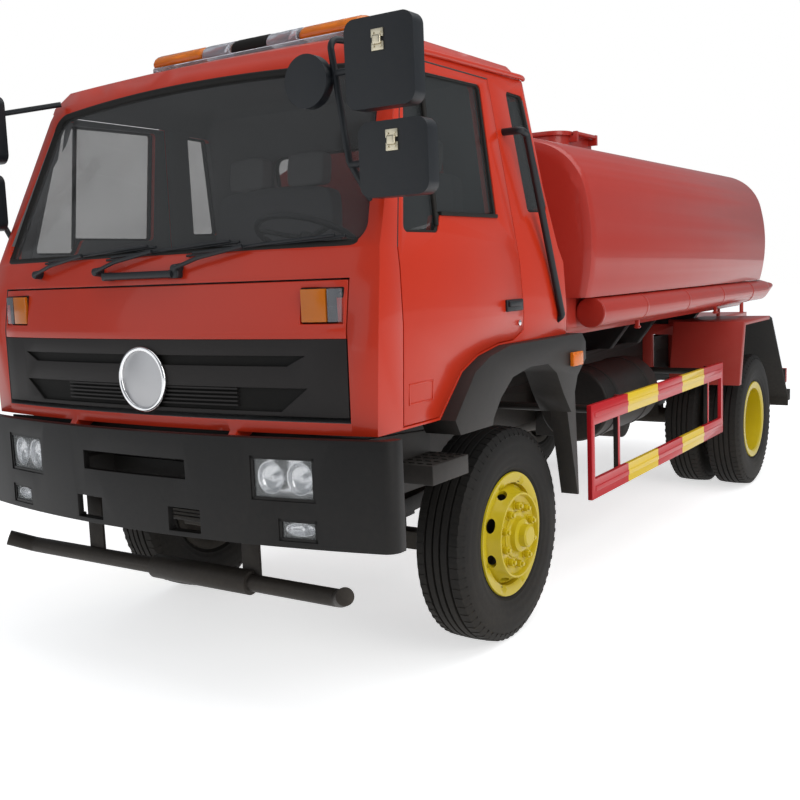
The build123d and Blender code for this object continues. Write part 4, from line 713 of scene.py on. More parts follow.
def rod(
    name: str,
    start: Point,
    end: Point,
    radius: float,
    ease: float = 0.0,
    vertices: int = 32,
    tip: Optional[float] = None,
) -> Piece:
    """Make a round bar between two points.

    Args:
        name: The piece's name.
        start: Centre of its first end.
        end: Centre of its other end.
        radius: Its radius at the start.
        ease: Width of its eased rims.
        vertices: Sides of the round.
        tip: Its radius at the end, if it tapers.

    Returns:
        The bar.
    """
    clear_selection()
    first, last = Vector(start), Vector(end)
    run = last - first
    turn = run.to_track_quat("Z", "Y").to_euler()
    bpy.ops.mesh.primitive_cone_add(
        vertices=vertices,
        radius1=radius,
        radius2=radius if tip is None else tip,
        depth=run.length,
        location=(first + last) / 2,
        rotation=turn,
    )
    piece = settle(named(name))
    if ease:
        eased(piece, ease)
    return smoothed(piece)


def traced(name: str, points: Sequence[Point]) -> Piece:
    """Draw a chain of points by extruding one vertex, and stay in edit mode with all selected.

    Args:
        name: The piece's name.
        points: The chain's points.

    Returns:
        The piece, in edit mode.
    """
    clear_selection()
    bpy.ops.mesh.primitive_plane_add(size=0.01, location=points[0])
    piece = settle(named(name))
    bpy.ops.object.mode_set(mode="EDIT")
    bpy.ops.mesh.select_all(action="SELECT")
    bpy.ops.mesh.merge(type="CENTER")
    for before, after in zip(points, points[1:]):
        step = Vector(after) - Vector(before)
        bpy.ops.mesh.extrude_region_move(TRANSFORM_OT_translate={"value": step})
    bpy.ops.mesh.select_all(action="SELECT")
    return piece


def board(name: str, outline: Sequence[Point], push: Point, ease: float = 0.0) -> Piece:
    """Make a flat piece from its outline, thickened along a direction.

    Args:
        name: The piece's name.
        outline: The outline's points, in one plane.
        push: The thickness as a vector.
        ease: Width of its eased edges.

    Returns:
        The piece.
    """
    piece = traced(name, outline)
    bpy.ops.mesh.edge_face_add()
    bpy.ops.mesh.extrude_region_move(TRANSFORM_OT_translate={"value": push})
    bpy.ops.mesh.select_all(action="SELECT")
    bpy.ops.mesh.normals_make_consistent(inside=False)
    bpy.ops.object.mode_set(mode="OBJECT")
    if ease:
        eased(piece, ease)
    return piece


def upright(
    name: str,
    ends: Sequence[Tuple[float, float]],
    base: float,
    depth: float,
    high: float,
    ease: float = 0.0,
) -> Piece:
    """Make an upright bar between two places across the front.

    Args:
        name: The bar's name.
        ends: The (x, y) of its two front corners.
        base: Its lowest height.
        depth: How far it reaches back.
        high: How far it reaches up.
        ease: Width of its eased edges.

    Returns:
        The bar.
    """
    (x0, y0), (x1, y1) = ends
    outline = ((x0, y0, base), (x1, y1, base), (x1, y1 + depth, base), (x0, y0 + depth, base))
    return board(name, outline, (0.0, 0.0, high), ease)


def turned(
    name: str,
    profile: Sequence[Tuple[float, float]],
    centre: Point,
    side: float = 1.0,
    steps: int = 96,
) -> Piece:
    """Spin a profile about a line across the truck, as on a lathe.

    Args:
        name: The piece's name.
        profile: Points as (place along X, radius), open or ending where it starts.
        centre: A point on the line that X places are measured from.
        side: 1 or -1, the way that X places point.
        steps: Faces round the turn.

    Returns:
        The piece.
    """
    chain = [(centre[0] + side * x, centre[1], centre[2] + radius) for x, radius in profile]
    piece = traced(name, chain)
    bpy.ops.mesh.spin(steps=steps, angle=math.tau, center=centre, axis=(1.0, 0.0, 0.0))
    bpy.ops.mesh.select_all(action="SELECT")
    bpy.ops.mesh.remove_doubles(threshold=0.00005)
    bpy.ops.mesh.normals_make_consistent(inside=False)
    bpy.ops.object.mode_set(mode="OBJECT")
    return smoothed(piece, 36.0)


def bent_tube(name: str, points: Sequence[Point], radius: float, bend: float = 0.03) -> Piece:
    """Make a round tube along straight runs with rounded corners.

    Args:
        name: The piece's name.
        points: The corners of its route.
        radius: The tube's radius.
        bend: The reach of each rounded corner.

    Returns:
        The tube as a mesh.
    """
    route: List[Vector] = [Vector(points[0])]
    for before, corner, after in zip(points, points[1:], points[2:]):
        here = Vector(corner)
        back = (Vector(before) - here).normalized()
        ahead = (Vector(after) - here).normalized()
        for share in (0.0, 0.25, 0.5, 0.75, 1.0):
            lead = here + back * bend * (1 - share)
            tail = here + ahead * bend * share
            route.append(lead.lerp(tail, share))
    route.append(Vector(points[-1]))
    curve = bpy.data.curves.new(name, "CURVE")
    curve.dimensions = "3D"
    spline = curve.splines.new("POLY")
    spline.points.add(len(route) - 1)
    for point, place in zip(spline.points, route):
        point.co = (*place, 1.0)
    curve.bevel_depth = radius
    curve.bevel_resolution = 5
    curve.use_fill_caps = True
    piece = bpy.data.objects.new(name, curve)
    bpy.context.collection.objects.link(piece)
    activate(piece)
    bpy.ops.object.convert(target="MESH")
    return smoothed(named(name), 40.0)


def joined(name: str, parts: Sequence[Piece]) -> Piece:
    """Join parts into one piece."""
    clear_selection()
    for part in parts:
        part.select_set(True)
    bpy.context.view_layer.objects.active = parts[0]
    bpy.ops.object.join()
    return settle(named(name))


def copied(piece: Piece, name: str, matrix: Matrix) -> Piece:
    """Copy a piece, with its own mesh moved by a matrix.

    Args:
        piece: The piece to copy.
        name: The copy's name.
        matrix: Where the copy goes, as a change from the first one's place.

    Returns:
        The copy.
    """
    twin = piece.copy()
    twin.data = piece.data.copy()
    twin.name = name
    twin.data.name = name
    bpy.context.collection.objects.link(twin)
    twin.hide_set(False)
    twin.hide_viewport = False
    twin.hide_render = False
    twin.data.transform(matrix)
    return twin


def merged_copy(node: Piece, name: str) -> Piece:
    """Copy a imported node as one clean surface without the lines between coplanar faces."""
    piece = copied(node, name, Matrix.Identity(4))
    activate(piece)
    bpy.ops.object.mode_set(mode="EDIT")
    bpy.ops.mesh.select_all(action="SELECT")
    bpy.ops.mesh.remove_doubles(threshold=0.00002)
    bpy.ops.mesh.dissolve_limited(angle_limit=math.radians(0.6))
    bpy.ops.object.mode_set(mode="OBJECT")
    return piece


@dataclass
class Workshop:
    """Dresses pieces with finishes and fixes them to their bodies."""

    frame: Dict[str, object]
    finishes: Finishes
    count: int = 0

    def node(self, name: str) -> Piece:
        """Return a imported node's object."""
        return self.frame["nodes"][name]

    def dress(self, piece: Piece, finish: str, body: Body) -> Piece:
        """Paint a piece and fix it to its body.

        Args:
            piece: The piece.
            finish: The name of its finish.
            body: The body that it moves with.

        Returns:
            The piece.
        """
        piece.data.materials.clear()
        piece.data.materials.append(self.finishes[finish])
        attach(piece, body.value)
        self.count += 1
        LOG.info("%s in %s on %s", piece.name, finish, body.value)
        return piece

    def refine(
        self,
        node: str,
        finish: str,
        body: Body,
        ease: float = 0.003,
        segments: int = 2,
        degrees: float = 35.0,
    ) -> Piece:
        """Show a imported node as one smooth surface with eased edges.

        Args:
            node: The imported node's name.
            finish: The name of its finish.
            body: The body that it moves with.
            ease: Width of its eased edges, 0 for none.
            segments: Faces across each edge.
            degrees: Edges sharper than this are eased.

        Returns:
            The piece that stands for the node.
        """
        piece = merged_copy(self.node(node), node + "_skin")
        if ease:
            eased(piece, ease, segments, degrees)
        else:
            smoothed(piece)
        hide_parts(node)
        return self.dress(piece, finish, body)

    def outline_seal(self, pane: Piece, name: str, radius: float, body: Body) -> Piece:
        """Lay a rubber seal round the edge of a pane.

        Args:
            pane: The pane.
            name: The seal's name.
            radius: The seal's radius.
            body: The body that it moves with.

        Returns:
            The seal.
        """
        source = copied(pane, name + "_edges", Matrix.Identity(4))
        activate(source)
        bpy.ops.object.mode_set(mode="EDIT")
        bpy.ops.mesh.select_mode(type="EDGE")
        bpy.ops.mesh.select_all(action="SELECT")
        bpy.ops.mesh.remove_doubles(threshold=0.00002)
        bpy.ops.mesh.select_all(action="DESELECT")
        bpy.ops.mesh.edges_select_sharp(sharpness=math.radians(55.0))
        bpy.ops.mesh.duplicate()
        bpy.ops.mesh.separate(type="SELECTED")
        bpy.ops.mesh.select_mode(type="VERT")
        bpy.ops.object.mode_set(mode="OBJECT")
        source.select_set(False)
        wires = bpy.context.selected_objects[0]
        bpy.data.objects.remove(source)
        activate(wires)
        bpy.ops.object.mode_set(mode="EDIT")
        bpy.ops.mesh.select_all(action="SELECT")
        bpy.ops.mesh.remove_doubles(threshold=0.002)
        bpy.ops.mesh.delete_loose(use_verts=True, use_edges=False, use_faces=False)
        bpy.ops.object.mode_set(mode="OBJECT")
        bpy.ops.object.convert(target="CURVE")
        curve = bpy.context.active_object
        curve.data.bevel_depth = radius
        curve.data.bevel_resolution = 3
        bpy.ops.object.convert(target="MESH")
        return self.dress(smoothed(named(name), 60.0), "seal_rubber", body)


# The cab's outer form, as the solids have it.


@dataclass(frozen=True)
class CabForm:
    """The cab's front and side lines, to seat trim on its skin."""

    rows: Tuple[Tuple[float, float, float, float, float], ...] = (
        (1.165, 1.128, -1.250, 0.170, 0.575),
        (1.568, 1.148, -1.250, 0.170, 0.575),
        (1.790, 1.141, -1.215, 0.170, 0.560),
        (1.870, 1.132, -1.195, 0.155, 0.515),
        (2.160, 1.098, -1.062, 0.135, 0.430),
        (2.650, 1.040, -0.842, 0.130, 0.343),
        (2.725, 0.978, -0.780, 0.130, 0.310),
        (2.768, 0.848, -0.640, 0.130, 0.215),
    )
    bow: float = 0.100
    bow_half: float = 1.148

    def _at(self, z: float, column: int) -> float:
        """Return a column's value at a height."""
        rows = self.rows
        for lower, upper in zip(rows, rows[1:]):
            if z <= upper[0]:
                share = max(0.0, (z - lower[0]) / (upper[0] - lower[0]))
                return lower[column] + (upper[column] - lower[column]) * share
        return rows[-1][column]

    def half(self, z: float) -> float:
        """Return the half width at a height."""
        return self._at(z, 1)

    def back(self, z: float) -> float:
        """Return the Y of the rear wall at a height."""
        return station(self._at(z, 4))

    def front(self, x: float, z: float) -> float:
        """Return the Y of the bowed front face at a place across and a height."""
        return station(self._at(z, 2) + self.bow * (x / self.bow_half) ** 2)

    def skin(self, x: float, z: float, inset: float = 0.0) -> float:
        """Return the Y of the front skin where it wraps round the cab's corners.

        Args:
            x: The place across the truck.
            z: The height.
            inset: How deep below the skin.

        Returns:
            The place along the truck.
        """
        half, corner = self._at(z, 1) - inset, self._at(z, 3) - inset
        front = self._at(z, 2) + inset
        bow = self.bow * (half / self.bow_half) ** 2
        arc = (half**2 + bow**2) / (2 * bow)
        knee = (half - corner) * arc / (arc - corner)
        across = min(abs(x), half - 0.001)
        if across <= knee:
            return station(front + arc - math.sqrt(arc**2 - across**2))
        middle = front + arc - math.sqrt((arc - corner) ** 2 - (half - corner) ** 2)
        return station(middle - math.sqrt(corner**2 - (across - half + corner) ** 2))


FORM = CabForm()


# Wheels.


@dataclass
class WheelMaker:
    """Makes the tyres, rims and wheel nuts."""

    shop: Workshop
    flange: float = 0.298
    rim_half: float = 0.105
    twin: float = 0.320
    front_x: float = 0.967
    rear_x: float = 0.929
    blocks: int = 64
    nuts: int = 10
    nut_circle: float = 0.140
    holes: int = 8
    dish: float = 0.160
    hub_hole: float = 0.085
    front_face: float = 0.134
    front_cap: float = 0.078
    front_paint: float = 0.045
    rear_face: float = 0.012
    rear_cap: float = 0.165
    rear_paint: float = 0.02

    @staticmethod
    def _spun(y: float, turn: int, count: int) -> Matrix:
        """Return the turn about an axle that carries the first of a ring's pieces to another."""
        return (
            Matrix.Translation((0.0, y, AXLE_Z))
            @ Matrix.Rotation(math.tau * turn / count, 4, "X")
            @ Matrix.Translation((0.0, -y, -AXLE_Z))
        )

    def _tyre_profile(self) -> List[Tuple[float, float]]:
        """Return the tyre's section from bead to bead, with its tread grooves."""
        right = [
            (0.1046, 0.2545),
            (0.1046, 0.301),
            (0.113, 0.310),
            (0.119, 0.318),
            (0.1185, 0.322),
            (0.1235, 0.335),
            (0.1285, 0.352),
            (0.1280, 0.356),
            (0.1325, 0.375),
            (0.1335, 0.395),
            (0.1320, 0.420),
            (0.1305, 0.430),
            (0.1310, 0.434),
            (0.1265, 0.456),
            (0.1210, 0.474),
            (0.1150, 0.490),
            (0.1080, 0.499),
            (0.1040, 0.5045),
            (0.0640, 0.5105),
            (0.0620, 0.5000),
            (0.0540, 0.5000),
            (0.0520, 0.5120),
            (0.0240, 0.5135),
            (0.0220, 0.5010),
            (0.0140, 0.5010),
            (0.0120, 0.5138),
        ]
        left = [(-x, radius) for x, radius in reversed(right)]
        return right + left + [right[0]]

    def _tyre(self, name: str, x: float, y: float) -> Piece:
        """Make one tyre: a grooved ring with shoulder blocks.

        Args:
            name: The tyre's name.
            x: Its middle across the truck.
            y: Its axle's place.

        Returns:
            The tyre.
        """
        ring = turned(name + "_ring", self._tyre_profile(), (x, y, AXLE_Z), 1.0, 96)
        parts = [ring]
        for sign in (1, -1):
            inner, outer = sign * 0.066, sign * 0.1255
            block = board(
                f"{name}_block{sign}",
                (
                    (x + inner, y - 0.0085, AXLE_Z + 0.5118),
                    (x + sign * 0.1035, y - 0.0120, AXLE_Z + 0.5078),
                    (x + outer, y - 0.0120, AXLE_Z + 0.4740),
                    (x + sign * 0.118, y - 0.0110, AXLE_Z + 0.4640),
                    (x + sign * 0.098, y - 0.0100, AXLE_Z + 0.4900),
                    (x + inner, y - 0.0085, AXLE_Z + 0.4950),
                ),
                (0.0, 0.0190, 0.0),
            )
            parts.append(block)
            for turn in range(1, self.blocks):
                parts.append(copied(block, f"{name}_block", self._spun(y, turn, self.blocks)))
        return joined(name, parts)

    def _rim_profile(self, toward: float, dish: float, hub: float) -> List[Tuple[float, float]]:
        """Return a rim's section: barrel, dished disc with its raised nut ring, and hub seat.

        Args:
            toward: 1 where the disc is dished outwards, -1 inwards.
            dish: How far the disc's face lies from the rim's middle.
            hub: The radius where the disc ends.

        Returns:
            Points as (place, radius), a closed loop.
        """
        half, wall = self.rim_half, 0.012
        barrel = [
            (half, 0.2538),
            (half, self.flange - 0.006),
            (half + 0.004, self.flange),
            (half + wall, self.flange - 0.003),
            (half + wall, 0.262),
            (half + 0.004, 0.246),
            (half - 0.020, 0.2435),
        ]
        disc = [
            (toward * 0.075, 0.2435),
            (toward * 0.088, 0.238),
            (toward * (dish - 0.030), 0.209),
            (toward * (dish - 0.006), 0.2045),
            (toward * dish, 0.201),
            (toward * dish, 0.193),
            (toward * (dish - 0.006), 0.190),
            (toward * (dish - 0.022), 0.186),
            (toward * (dish - 0.026), 0.178),
            (toward * (dish - 0.026), hub),
            (toward * (dish - 0.038), hub),
            (toward * (dish - 0.038), 0.184),
            (toward * 0.070, 0.228),
            (toward * 0.052, 0.2435),
        ]
        if toward < 0:
            disc.reverse()
        far = [
            (-half + 0.020, 0.2435),
            (-half - 0.004, 0.246),
            (-half - wall, 0.262),
            (-half - wall, self.flange - 0.003),
            (-half - 0.004, self.flange),
            (-half, self.flange - 0.006),
            (-half, 0.2538),
        ]
        return barrel + disc + far + [barrel[0]]

    def _hand_holes(self, rim: Piece, x: float, y: float, side: int, toward: float) -> None:
        """Cut the oval hand holes through a rim's sloping disc."""
        cutters = []
        for index in range(self.holes):
            angle = math.tau * (index + 0.5) / self.holes
            away = Vector((0.0, math.cos(angle), math.sin(angle)))
            lean = Vector((side * toward * 0.45, 0.0, 0.0))
            seat = Vector((x + side * toward * 0.112, y, AXLE_Z)) + away * 0.222
            cutter = rod(
                f"hole_cutter{index}",
                tuple(seat + (away + lean) * 0.05),
                tuple(seat - (away + lean) * 0.05),
                0.021,
                vertices=20,
            )
            activate(cutter)
            around = Vector((1.0, 0.0, 0.0)).cross(away).normalized()
            oval = Matrix.Scale(1.7, 4, around)
            cutter.data.transform(Matrix.Translation(seat) @ oval @ Matrix.Translation(-seat))
            cutters.append(cutter)
        cutter = joined("hole_cutters", cutters)
        modified(rim, "BOOLEAN", operation="DIFFERENCE", object=cutter, solver="EXACT")
        bpy.data.objects.remove(cutter)

    def _rim(self, name: str, x: float, y: float, side: int, toward: float) -> Piece:
        """Make one rim with its hand holes."""
        profile = self._rim_profile(toward, self.dish, self.hub_hole)
        rim = turned(name, profile, (x, y, AXLE_Z), side, 96)
        self._hand_holes(rim, x, y, side, toward)
        return smoothed(rim, 34.0)

    def _darkened(self, rim: Piece, x: float, side: int, depth: float) -> None:
        """Paint the back of a rim dark grey as painted shade, where the shadow behind the wheel
        falls.

        Args:
            rim: The rim.
            x: Its middle across the truck.
            side: The side's sign.
            depth: How far in from the middle the paint ends.
        """
        # Painted shade: inner faces take the dark grey finish in place of the yellow paint.
        rim.data.materials.append(self.shop.finishes["cast_grey"])
        for face in rim.data.polygons:
            if side * (face.center.x - x) < depth:
                face.material_index = 1

    def _hub(self, name: str, x: float, y: float, side: int, reach: float) -> Piece:
        """Make a hub: its flange, the drive boss and the cap.

        Args:
            name: The hub's name.
            x: The nut face's place across the truck.
            y: The axle's place.
            side: The side's sign.
            reach: How far the cap stands out of the nut face.

        Returns:
            The hub.
        """
        profile = [
            (-0.060, 0.0),
            (-0.060, 0.112),
            (0.000, 0.112),
            (0.004, 0.110),
            (0.006, 0.106),
            (0.006, 0.090),
            (0.012, 0.082),
            (reach * 0.45, 0.078),
            (reach * 0.50, 0.070),
            (reach * 0.55, 0.056),
            (reach * 0.90, 0.052),
            (reach, 0.044),
            (reach, 0.0),
        ]
        return turned(name, profile, (x, y, AXLE_Z), side, 64)

    def _nuts(self, name: str, x: float, y: float, side: int) -> Piece:
        """Make the ring of wheel nuts with their washers and stud ends."""
        parts: List[Piece] = []
        top = (x, y, AXLE_Z + self.nut_circle)

        def reach(distance: float) -> Point:
            """Return a point that far out of the nut face."""
            return (top[0] + side * distance, top[1], top[2])

        parts.append(rod(name + "_washer", reach(0.0), reach(0.006), 0.023, 0.001, 20))
        parts.append(rod(name + "_nut", reach(0.006), reach(0.030), 0.0195, 0.0025, 6))
        parts.append(rod(name + "_stud", reach(0.028), reach(0.041), 0.0105, 0.001, 12))
        first = joined(name + "_first", parts)
        ring = [first]
        for turn in range(1, self.nuts):
            ring.append(copied(first, name, self._spun(y, turn, self.nuts)))
        return joined(name, ring)

    def build(self) -> None:
        """Make all the wheels and hide the plain ones."""
        for side in Side:
            sign, word = side.value, side.word
            front = Body["WHEEL_FRONT_" + side.name]
            rear = Body["WHEELS_REAR_" + side.name]
            x = sign * self.front_x
            y = station(0.0)
            tyre = self._tyre(f"front_tyre_{word}", x, y)
            self.shop.dress(tyre, "tyre_rubber", front)
            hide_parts(f"tyre_front_{word}")
            rim = self._rim(f"front_rim_{word}", x, y, sign, 1.0)
            self.shop.dress(rim, "wheel_yellow", front)
            self._darkened(rim, x, sign, self.front_paint)
            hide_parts(f"rim_front_{word}")
            face = sign * (self.front_x + self.front_face)
            hub = self._hub(f"front_hub_{word}", face, y, sign, self.front_cap)
            self.shop.dress(hub, "wheel_yellow", front)
            self.shop.dress(self._nuts(f"front_nuts_{word}", face, y, sign), "wheel_yellow", front)
            y = station(WHEELBASE)
            rims, tyres = [], []
            for place, toward in ((-0.5, 1.0), (0.5, -1.0)):
                x = sign * (self.rear_x + place * self.twin)
                tyres.append(self._tyre(f"rear_tyre_{word}_{place}", x, y))
                rims.append(self._rim(f"rear_rim_{word}_{place}", x, y, sign, toward))
            tyre = joined(f"rear_tyres_{word}", tyres)
            self.shop.dress(tyre, "tyre_rubber", rear)
            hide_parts(f"tyres_rear_{word}")
            rim = joined(f"rear_rims_{word}", rims)
            self.shop.dress(rim, "wheel_yellow", rear)
            self._darkened(rim, sign * self.rear_x, sign, self.rear_paint)
            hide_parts(f"rims_rear_{word}")
            face = sign * (self.rear_x + self.rear_face)
            hub = self._hub(f"rear_hub_{word}", face, y, sign, self.rear_cap)
            self.shop.dress(hub, "wheel_yellow", rear)
            self.shop.dress(self._nuts(f"rear_nuts_{word}", face, y, sign), "wheel_yellow", rear)


# Cab.


@dataclass
class CabMaker:
    """Makes the cab's skin, glass, seals, doors' trim and wipers."""

    shop: Workshop
    wipers: Tuple[float, ...] = (-0.722, -0.272, 0.208)
    wiper_z: float = 1.822
    handle_half: float = 0.200
    handle_z: float = 1.800
    screen_low: float = 1.885
    screen_high: float = 2.585
    screen_foot: float = 1.075
    screen_head: float = 0.968
    screen_crown: float = 0.037
    screen_corner: float = 0.072
    lock_z: float = 1.520
    blade_lift: float = 0.06
    pressing: Tuple[Tuple[Tuple[float, float], Tuple[float, float]], ...] = (
        ((-0.940, 1.255), (-0.759, 1.263)),
        ((-0.940, 1.333), (-0.759, 1.341)),
        ((-0.940, 1.255), (-0.932, 1.341)),
        ((-0.767, 1.255), (-0.759, 1.341)),
    )

    def _skin(self) -> None:
        """Show the cab's shell in red outside and plain plastic inside."""
        skin = merged_copy(self.shop.node("cab_shell"), "cab_skin")
        eased(skin, 0.005, 2)
        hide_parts("cab_shell")
        self.shop.dress(skin, "cab_red", Body.CAB)
        skin.data.materials.append(self.shop.finishes["cab_plastic"])
        skin.data.materials.append(self.shop.finishes["frame_black"])
        for face in skin.data.polygons:
            x, y, z = face.center
            inside = abs(x) < FORM.half(z) - 0.045 and 1.2 < z < 2.725
            if inside and FORM.front(x, z) + 0.045 < y < FORM.back(z) - 0.015:
                face.material_index = 1
            elif z < 1.44 and face.normal.z < -0.2 and abs(x) < 1.12:
                face.material_index = 2

    def _windscreen(self) -> None:
        """Lay the curved windscreen, with round corners, in its thick seal."""
        across, rise = 56, 36
        clear_selection()
        bpy.ops.mesh.primitive_grid_add(x_subdivisions=across, y_subdivisions=rise, size=2.0)
        pane = settle(named("windscreen_pane"))
        for vertex in pane.data.vertices:
            wide, high = vertex.co.x, vertex.co.y
            share = 0.5 + 0.5 * math.sin(high * math.pi / 2)
            z = self.screen_low + (self.screen_high - self.screen_low) * share
            half = self.screen_foot + (self.screen_head - self.screen_foot) * share
            edge = min(z - self.screen_low, self.screen_high - z)
            left = max(0.0, self.screen_corner - edge)
            half -= self.screen_corner - math.sqrt(self.screen_corner**2 - left**2)
            x = wide * half
            z += self.screen_crown * share * (1 - (x / self.screen_head) ** 2)
            vertex.co = (x, FORM.skin(x, z, 0.014), z)
        activate(pane)
        bpy.ops.object.mode_set(mode="EDIT")
        bpy.ops.mesh.select_all(action="SELECT")
        bpy.ops.mesh.remove_doubles(threshold=0.0002)
        bpy.ops.mesh.normals_make_consistent(inside=False)
        bpy.ops.object.mode_set(mode="OBJECT")
        if sum(face.normal.y for face in pane.data.polygons) > 0:
            bpy.ops.object.mode_set(mode="EDIT")
            bpy.ops.mesh.flip_normals()
            bpy.ops.object.mode_set(mode="OBJECT")
        modified(pane, "SOLIDIFY", thickness=0.006, offset=-1.0)
        smoothed(pane, 40.0)
        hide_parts("windscreen")
        self.shop.dress(pane, "screen_glass", Body.CAB)
        self.shop.outline_seal(pane, "windscreen_seal", 0.018, Body.CAB)

    def _glazing(self) -> None:
        """Show the panes as thin glass with rubber seals."""
        self._windscreen()
        panes = (
            ("cab_glass", Body.CAB),
            ("door_glass_left", Body.DOOR_LEFT),
            ("door_glass_right", Body.DOOR_RIGHT),
        )
        for node, body in panes:
            pane = self.shop.refine(node, "cab_glass", body, 0.0)
            self.shop.outline_seal(pane, node + "_seal", 0.010, body)
        for side in Side:
            x = side.value * 1.098
            body = Body["DOOR_" + side.name]
            split = rod(
                f"vent_divider_{side.word}",
                (side.value * 1.111, station(-0.655), 1.955),
                (side.value * 1.047, station(-0.640), 2.575),
                0.011,
                vertices=12,
            )
            self.shop.dress(split, "seal_rubber", body)
            sill = slab(
                f"window_wiper_strip_{side.word}",
                (x - 0.012 + side.value * 0.014, station(-0.630), 1.995),
                (x + 0.012 + side.value * 0.014, station(-0.140), 2.012),
                0.003,
            )
            self.shop.dress(sill, "seal_rubber", body)

    def _doors(self) -> None:
        """Make the doors' skins, pull handles, locks and pressed panels."""
        for side in Side:
            sign, word = side.value, side.word
            body = Body["DOOR_" + side.name]
            door = self.shop.refine(f"door_{word}", "cab_red", body, 0.004)
            door.data.materials.append(self.shop.finishes["cab_plastic"])
            for face in door.data.polygons:
                x, _, z = face.center
                if abs(x) < FORM.half(z) - 0.045:
                    face.material_index = 1
            skin = FORM.half(1.60) * sign
            pad = slab(
                f"handle_pad_{word}",
                (skin - 0.004 * sign, station(-0.135), 1.577),
                (skin + 0.012 * sign, station(0.025), 1.631),
                0.006,
                3,
            )
            grip = slab(
                f"handle_grip_{word}",
                (skin + 0.008 * sign, station(-0.128), 1.598),
                (skin + 0.024 * sign, station(-0.010), 1.626),
                0.007,
                3,
            )
            self.shop.dress(joined(f"door_handle_{word}", [pad, grip]), "mirror_black", body)
            half = FORM.half(self.lock_z)
            lock = rod(
                f"door_lock_{word}",
                (sign * half, station(0.0), self.lock_z),
                (sign * (half + 0.006), station(0.0), self.lock_z),
                0.013,
                0.002,
                24,
            )
            self.shop.dress(lock, "chrome", body)
            frame = []
            for low, high in self.pressing:
                skin_x = FORM.half((low[1] + high[1]) / 2) * sign
                frame.append(
                    slab(
                        f"pressed_{word}",
                        (skin_x - 0.004 * sign, station(low[0]), low[1]),
                        (skin_x + 0.0025 * sign, station(high[0]), high[1]),
                        0.0015,
                    )
                )
            self.shop.dress(joined(f"door_pressing_{word}", frame), "cab_red", body)

    def _wiper(self, index: int, x: float) -> None:
        """Make one wiper: spindle cap, arm, blade frame and rubber."""
        z = self.wiper_z
        pivot = (x, FORM.front(x, z), z)
        top, foot = (x, pivot[1] - 0.042, z), (x, pivot[1] + 0.004, z)
        cap = rod(f"wiper_cap{index}", foot, top, 0.022, 0.004, 24, 0.017)
        middle_x, tip_z = x + 0.34, z + 0.075
        middle = (middle_x, FORM.front(middle_x, tip_z) - 0.038, tip_z)
        elbow = (x + 0.13, FORM.front(x + 0.13, z + 0.04) - 0.045, z + 0.038)
        arm = bent_tube(
            f"wiper_arm{index}", ((x, pivot[1] - 0.036, z), elbow, middle), 0.0085, 0.02
        )

        def blade(share: float, drop: float, out: float) -> Point:
            """Return a point along the blade, below its line and out of the glass."""
            bx = middle_x + share
            bz = tip_z + share * self.blade_lift - drop
            return bx, FORM.front(bx, bz) - out, bz

        parts = [cap, arm]
        for word, start, end, drop, out, radius in (
            ("bridge", -0.26, 0.40, 0.0, 0.022, 0.006),
            ("rubber", -0.30, 0.44, 0.008, 0.010, 0.0055),
        ):
            first, last = blade(start, drop, out), blade(end, drop, out)
            parts.append(rod(f"wiper_{word}{index}", first, last, radius, vertices=10))
        self.shop.dress(joined(f"wiper{index}", parts), "mirror_black", Body.CAB)

    def _front_handle(self) -> None:
        """Make the black grab bar below the windscreen."""
        z = self.handle_z
        parts = []
        corners = []
        for x in (-self.handle_half, self.handle_half):
            y = FORM.front(x, z)
            low, high = (x - 0.03, y - 0.034, z - 0.018), (x + 0.03, y + 0.004, z + 0.018)
            parts.append(slab(f"handle_foot{x}", low, high, 0.008, 3))
            corners.append((x, y - 0.030, z))
        parts.append(rod("handle_bar", corners[0], corners[1], 0.016, vertices=20))
        self.shop.dress(joined("screen_handle", parts), "mirror_black", Body.CAB)

    def _gutters(self) -> None:
        """Make the drip rails over the doors."""
        for side in Side:
            sign = side.value
            rail = bent_tube(
                f"drip_rail_{side.word}",
                (
                    (sign * 1.036, station(-0.735), 2.648),
                    (sign * 1.047, station(-0.580), 2.655),
                    (sign * 1.047, station(0.280), 2.668),
                    (sign * 1.020, station(0.345), 2.672),
                ),
                0.012,
                0.05,
            )
            self.shop.dress(rail, "cab_red", Body.CAB)

    def build(self) -> None:
        """Make the cab's outside."""
        self._skin()
        self._glazing()
        self._doors()
        for index, x in enumerate(self.wipers):
            self._wiper(index, x)
        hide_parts("wipers")
        self._front_handle()
        self._gutters()
        self.shop.refine("grab_rails", "mirror_black", Body.CAB, 0.002)
        self.shop.refine("arch_flares", "flare_black", Body.CAB, 0.012, 3)
        self.shop.refine("side_markers", "amber_lens", Body.CAB, 0.005, 3)


